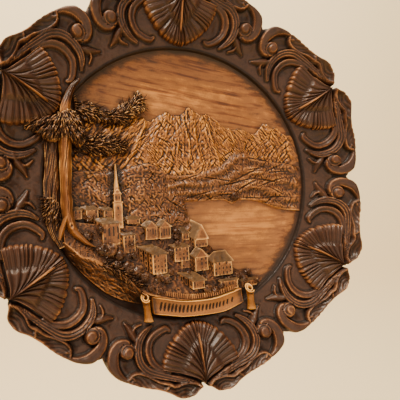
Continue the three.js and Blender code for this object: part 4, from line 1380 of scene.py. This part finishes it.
fence = {
    "path": [
        [-33, -74], [-26, -77.5], [-17, -80.5], [-8, -82.5], [0, -83.5], [10, -83.5], [20, -82.5], [30, -80],
    ],
    "posts": 44, "height": 24.5, "post": [(1.1, 0, 0), (0, 4.2, 0), (0, 0, 7.2)],
    "shape": [
        (-0.5, 0, 0), (0.5, 0, 0), (0.5, 0, 1), (-0.5, 0, 1), (-0.4, 1, 0), (0.4, 1, 0), (0.4, 1, 0.8),
        (-0.4, 1, 0.8),
    ],
}


def makeFence():
    path = smoothPath(picturePath(fence["path"], 30), fence["posts"])
    places = [[(px, py - 1.2, fence["height"]), *fence["post"]] for px, py in path]
    wearAndShade = np.array([0.0] * 4 + [0.4] * 4)
    return scatter("fencePosts", hullBox(fence["shape"]), places, wood["village"], wearAndShade)


pieces.append(makeRibbon())
pieces.append(joinParts("ribbonRolls", [rollParts(*end) for end in rolled["ends"]], wood["ribbon"]))
pieces.append(makeFence())
print("ribbon made")

# Wear on the edges, with painted shade on the marked slab edges, and dark wash with painted shade in the
# hollows, as attributes that the finishes read

wearPasses = {  # how often the shape is smoothed, and the height over it that counts as fully worn
    "titleRibbon": (5, 0.7), "rimCarving": (3, 0.62), "shells": (4, 0.85), "roundTrees": (4, 1.3),
    "villageWalls": (2, 0.7), "villageRoofs": (2, 0.7), "churchTower": (2, 0.7),
}
hollows = {
    "cell": 1.0, "size": 215.0, "near": (4, 0.65), "wide": (10, 0.35), "depth": 3.5, "dishDepth": 8.5,
    "proud": -0.12, "lipEdge": (140.6, 1.2), "backHeight": 3.5, "backTone": 0.25,
}


def markWear(piece, passes, scale):
    mesh = piece.data
    places = meshPlaces(piece)
    count = len(places)
    a, b = readNumbers(mesh.edges, "vertices", 2, int).T
    degree = np.bincount(a, minlength=count) + np.bincount(b, minlength=count)
    soft = places
    for _ in range(passes):
        soft = np.stack([
            (np.bincount(a, v[b], count) + np.bincount(b, v[a], count) + v) / (degree + 1) for v in soft.T
        ], 1)
    normals = fromRow(readNumbers(mesh.vertex_normals, "vector", 3))
    wearAndShade = np.clip(((places - soft) * normals).sum(1) / scale, -1, 1)
    # painted shade: the marked rows along a slab's top edge are darkened
    if "stepShade" in mesh.attributes:
        stepShade = readNumbers(mesh.attributes["stepShade"].data, "value", 1).ravel()
        wearAndShade = wearAndShade * (1 - stepShade) - 0.9 * stepShade
    setNumbers(piece, "wearAndShade", wearAndShade)


def blurred(field, reach):
    kernel = np.exp(-np.linspace(-2, 2, 2 * reach + 1) ** 2)
    kernel /= kernel.sum()

    def blurLine(line):
        return np.convolve(np.pad(line, reach, mode="edge"), kernel, "valid")

    return np.apply_along_axis(blurLine, 1, np.apply_along_axis(blurLine, 0, field))


def markHollows(made):  # how far a place lies below the carving round it
    cell, size = hollows["cell"], hollows["size"]
    cells = int(2 * size / cell)
    field = np.zeros((cells, cells))
    for piece in made:
        x, y, h = meshPlaces(piece).T
        i, j = (np.clip(((v + size) / cell).astype(int), 0, cells - 1) for v in (x, y))
        np.maximum.at(field, (i, j), h)
    for _ in range(3):  # cells that no vertex fell in
        around = np.maximum.reduce([np.roll(field, s, axis) for axis in (0, 1) for s in (1, -1)])
        field = np.where(field == 0, around, field)
    soft = sum(share * blurred(field, reach) for reach, share in (hollows["near"], hollows["wide"]))
    for piece in made:
        x, y, h = meshPlaces(piece).T
        u, v = (np.clip((p + size) / cell - 0.5, 0, cells - 2) for p in (x, y))
        i, j = u.astype(int), v.astype(int)
        depth = hollows["dishDepth"] if piece.name == "pictureDish" else hollows["depth"]
        # the deeper a place lies below the carving round it, the darker it is made: dark wash with painted
        # shade
        hollow = np.clip((blendCells(soft, i, j, u - i, v - j) - h) / depth, hollows["proud"], 1)
        if piece.name == "rimCarving":  # the edge of the lip is rougher, and darkened with painted shade
            radius, width = hollows["lipEdge"]
            hollow = np.maximum(hollow, ramp(radius - np.hypot(x, y), width))
        setNumbers(piece, "hollow", np.where(h < hollows["backHeight"], hollows["backTone"], hollow))


markHollows(pieces)
triangles = 0
for piece in pieces:
    if "wearAndShade" not in piece.data.attributes:
        markWear(piece, *wearPasses.get(piece.name, (5, 0.35)))
    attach(piece, "root")
    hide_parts("plaque")
    triangles += sum(len(face.vertices) - 2 for face in piece.data.polygons)
print("wear marked on", len(pieces), "pieces,", triangles, "triangles")

# Stage, light and camera

stage = {"wall": 0.95, "floor": -0.75, "bend": 0.5, "paint": (0.92, 0.73, 0.43, 1), "roughness": 0.9}
lights = {  # place, aim, size, power and colour
    "windowLight": ((-0.8, -0.9, 1.4), (0, 0, 0), 0.7, 70, (1.0, 0.92, 0.82)),
    "roomLight": ((0.35, -1.6, 0.0), (0, 0, 0), 1.6, 14, (1.0, 0.93, 0.84)),
    "wallLight": ((0.2, -0.3, 2.4), (0.2, 0.9, 0.2), 1.6, 100, (1.0, 0.93, 0.80)),
}
world = {"colour": (1.0, 0.9, 0.78, 1), "strength": 0.38}
view = {
    "place": (-0.138, -0.4519, -0.0433), "look": (0.3328, 0.9416, 0.0513), "up": (0.0382, -0.0678, 0.997),
    "lens": 40.0, "sensor": 36.0,
}


def makeStage():
    paint = bpy.data.materials.new("palePaint")
    paint.use_nodes = True
    shader = paint.node_tree.nodes["Principled BSDF"]
    shader.inputs["Base Color"].default_value = stage["paint"]
    shader.inputs["Roughness"].default_value = stage["roughness"]
    back, low, bend = stage["wall"] - stage["bend"], stage["floor"], stage["bend"]
    turns = np.linspace(0, math.pi / 2, 17)
    curve = [(back + bend * math.sin(t), low + bend * (1 - math.cos(t))) for t in turns]
    profile = [(-3.0, low), *curve, (stage["wall"], 3.0)]
    points = [(x, y, z) for x in (-4.0, 4.0) for y, z in profile]
    faces = [[k, k + 1, len(profile) + k + 1, len(profile) + k] for k in range(len(profile) - 1)]
    addMesh("backdrop", points, faces, paint)


def addLight(name, place, aim, size, power, colour):
    light = bpy.data.lights.new(name, "AREA")
    light.shape, light.size, light.energy, light.color = "DISK", size, power, colour
    lamp = addObject(name, light)
    lamp.location = place
    lamp.rotation_mode = "QUATERNION"
    lamp.rotation_quaternion = (Vector(aim) - Vector(place)).to_track_quat("-Z", "Y")


def addWorld():
    room = bpy.data.worlds.new("room")
    room.use_nodes = True
    background = room.node_tree.nodes["Background"]
    background.inputs["Color"].default_value = world["colour"]
    background.inputs["Strength"].default_value = world["strength"]
    bpy.context.scene.world = room


def addCamera():
    lens = bpy.data.cameras.new("camera")
    lens.lens, lens.sensor_width = view["lens"], view["sensor"]
    camera = addObject("camera", lens)
    look = Vector(view["look"]).normalized()
    right = look.cross(Vector(view["up"])).normalized()
    turn = Matrix((right, right.cross(look), -look)).transposed()
    camera.matrix_world = Matrix.Translation(view["place"]) @ turn.to_4x4()
    bpy.context.scene.camera = camera


makeStage()
for name, light in lights.items():
    addLight(name, *light)
addWorld()
addCamera()
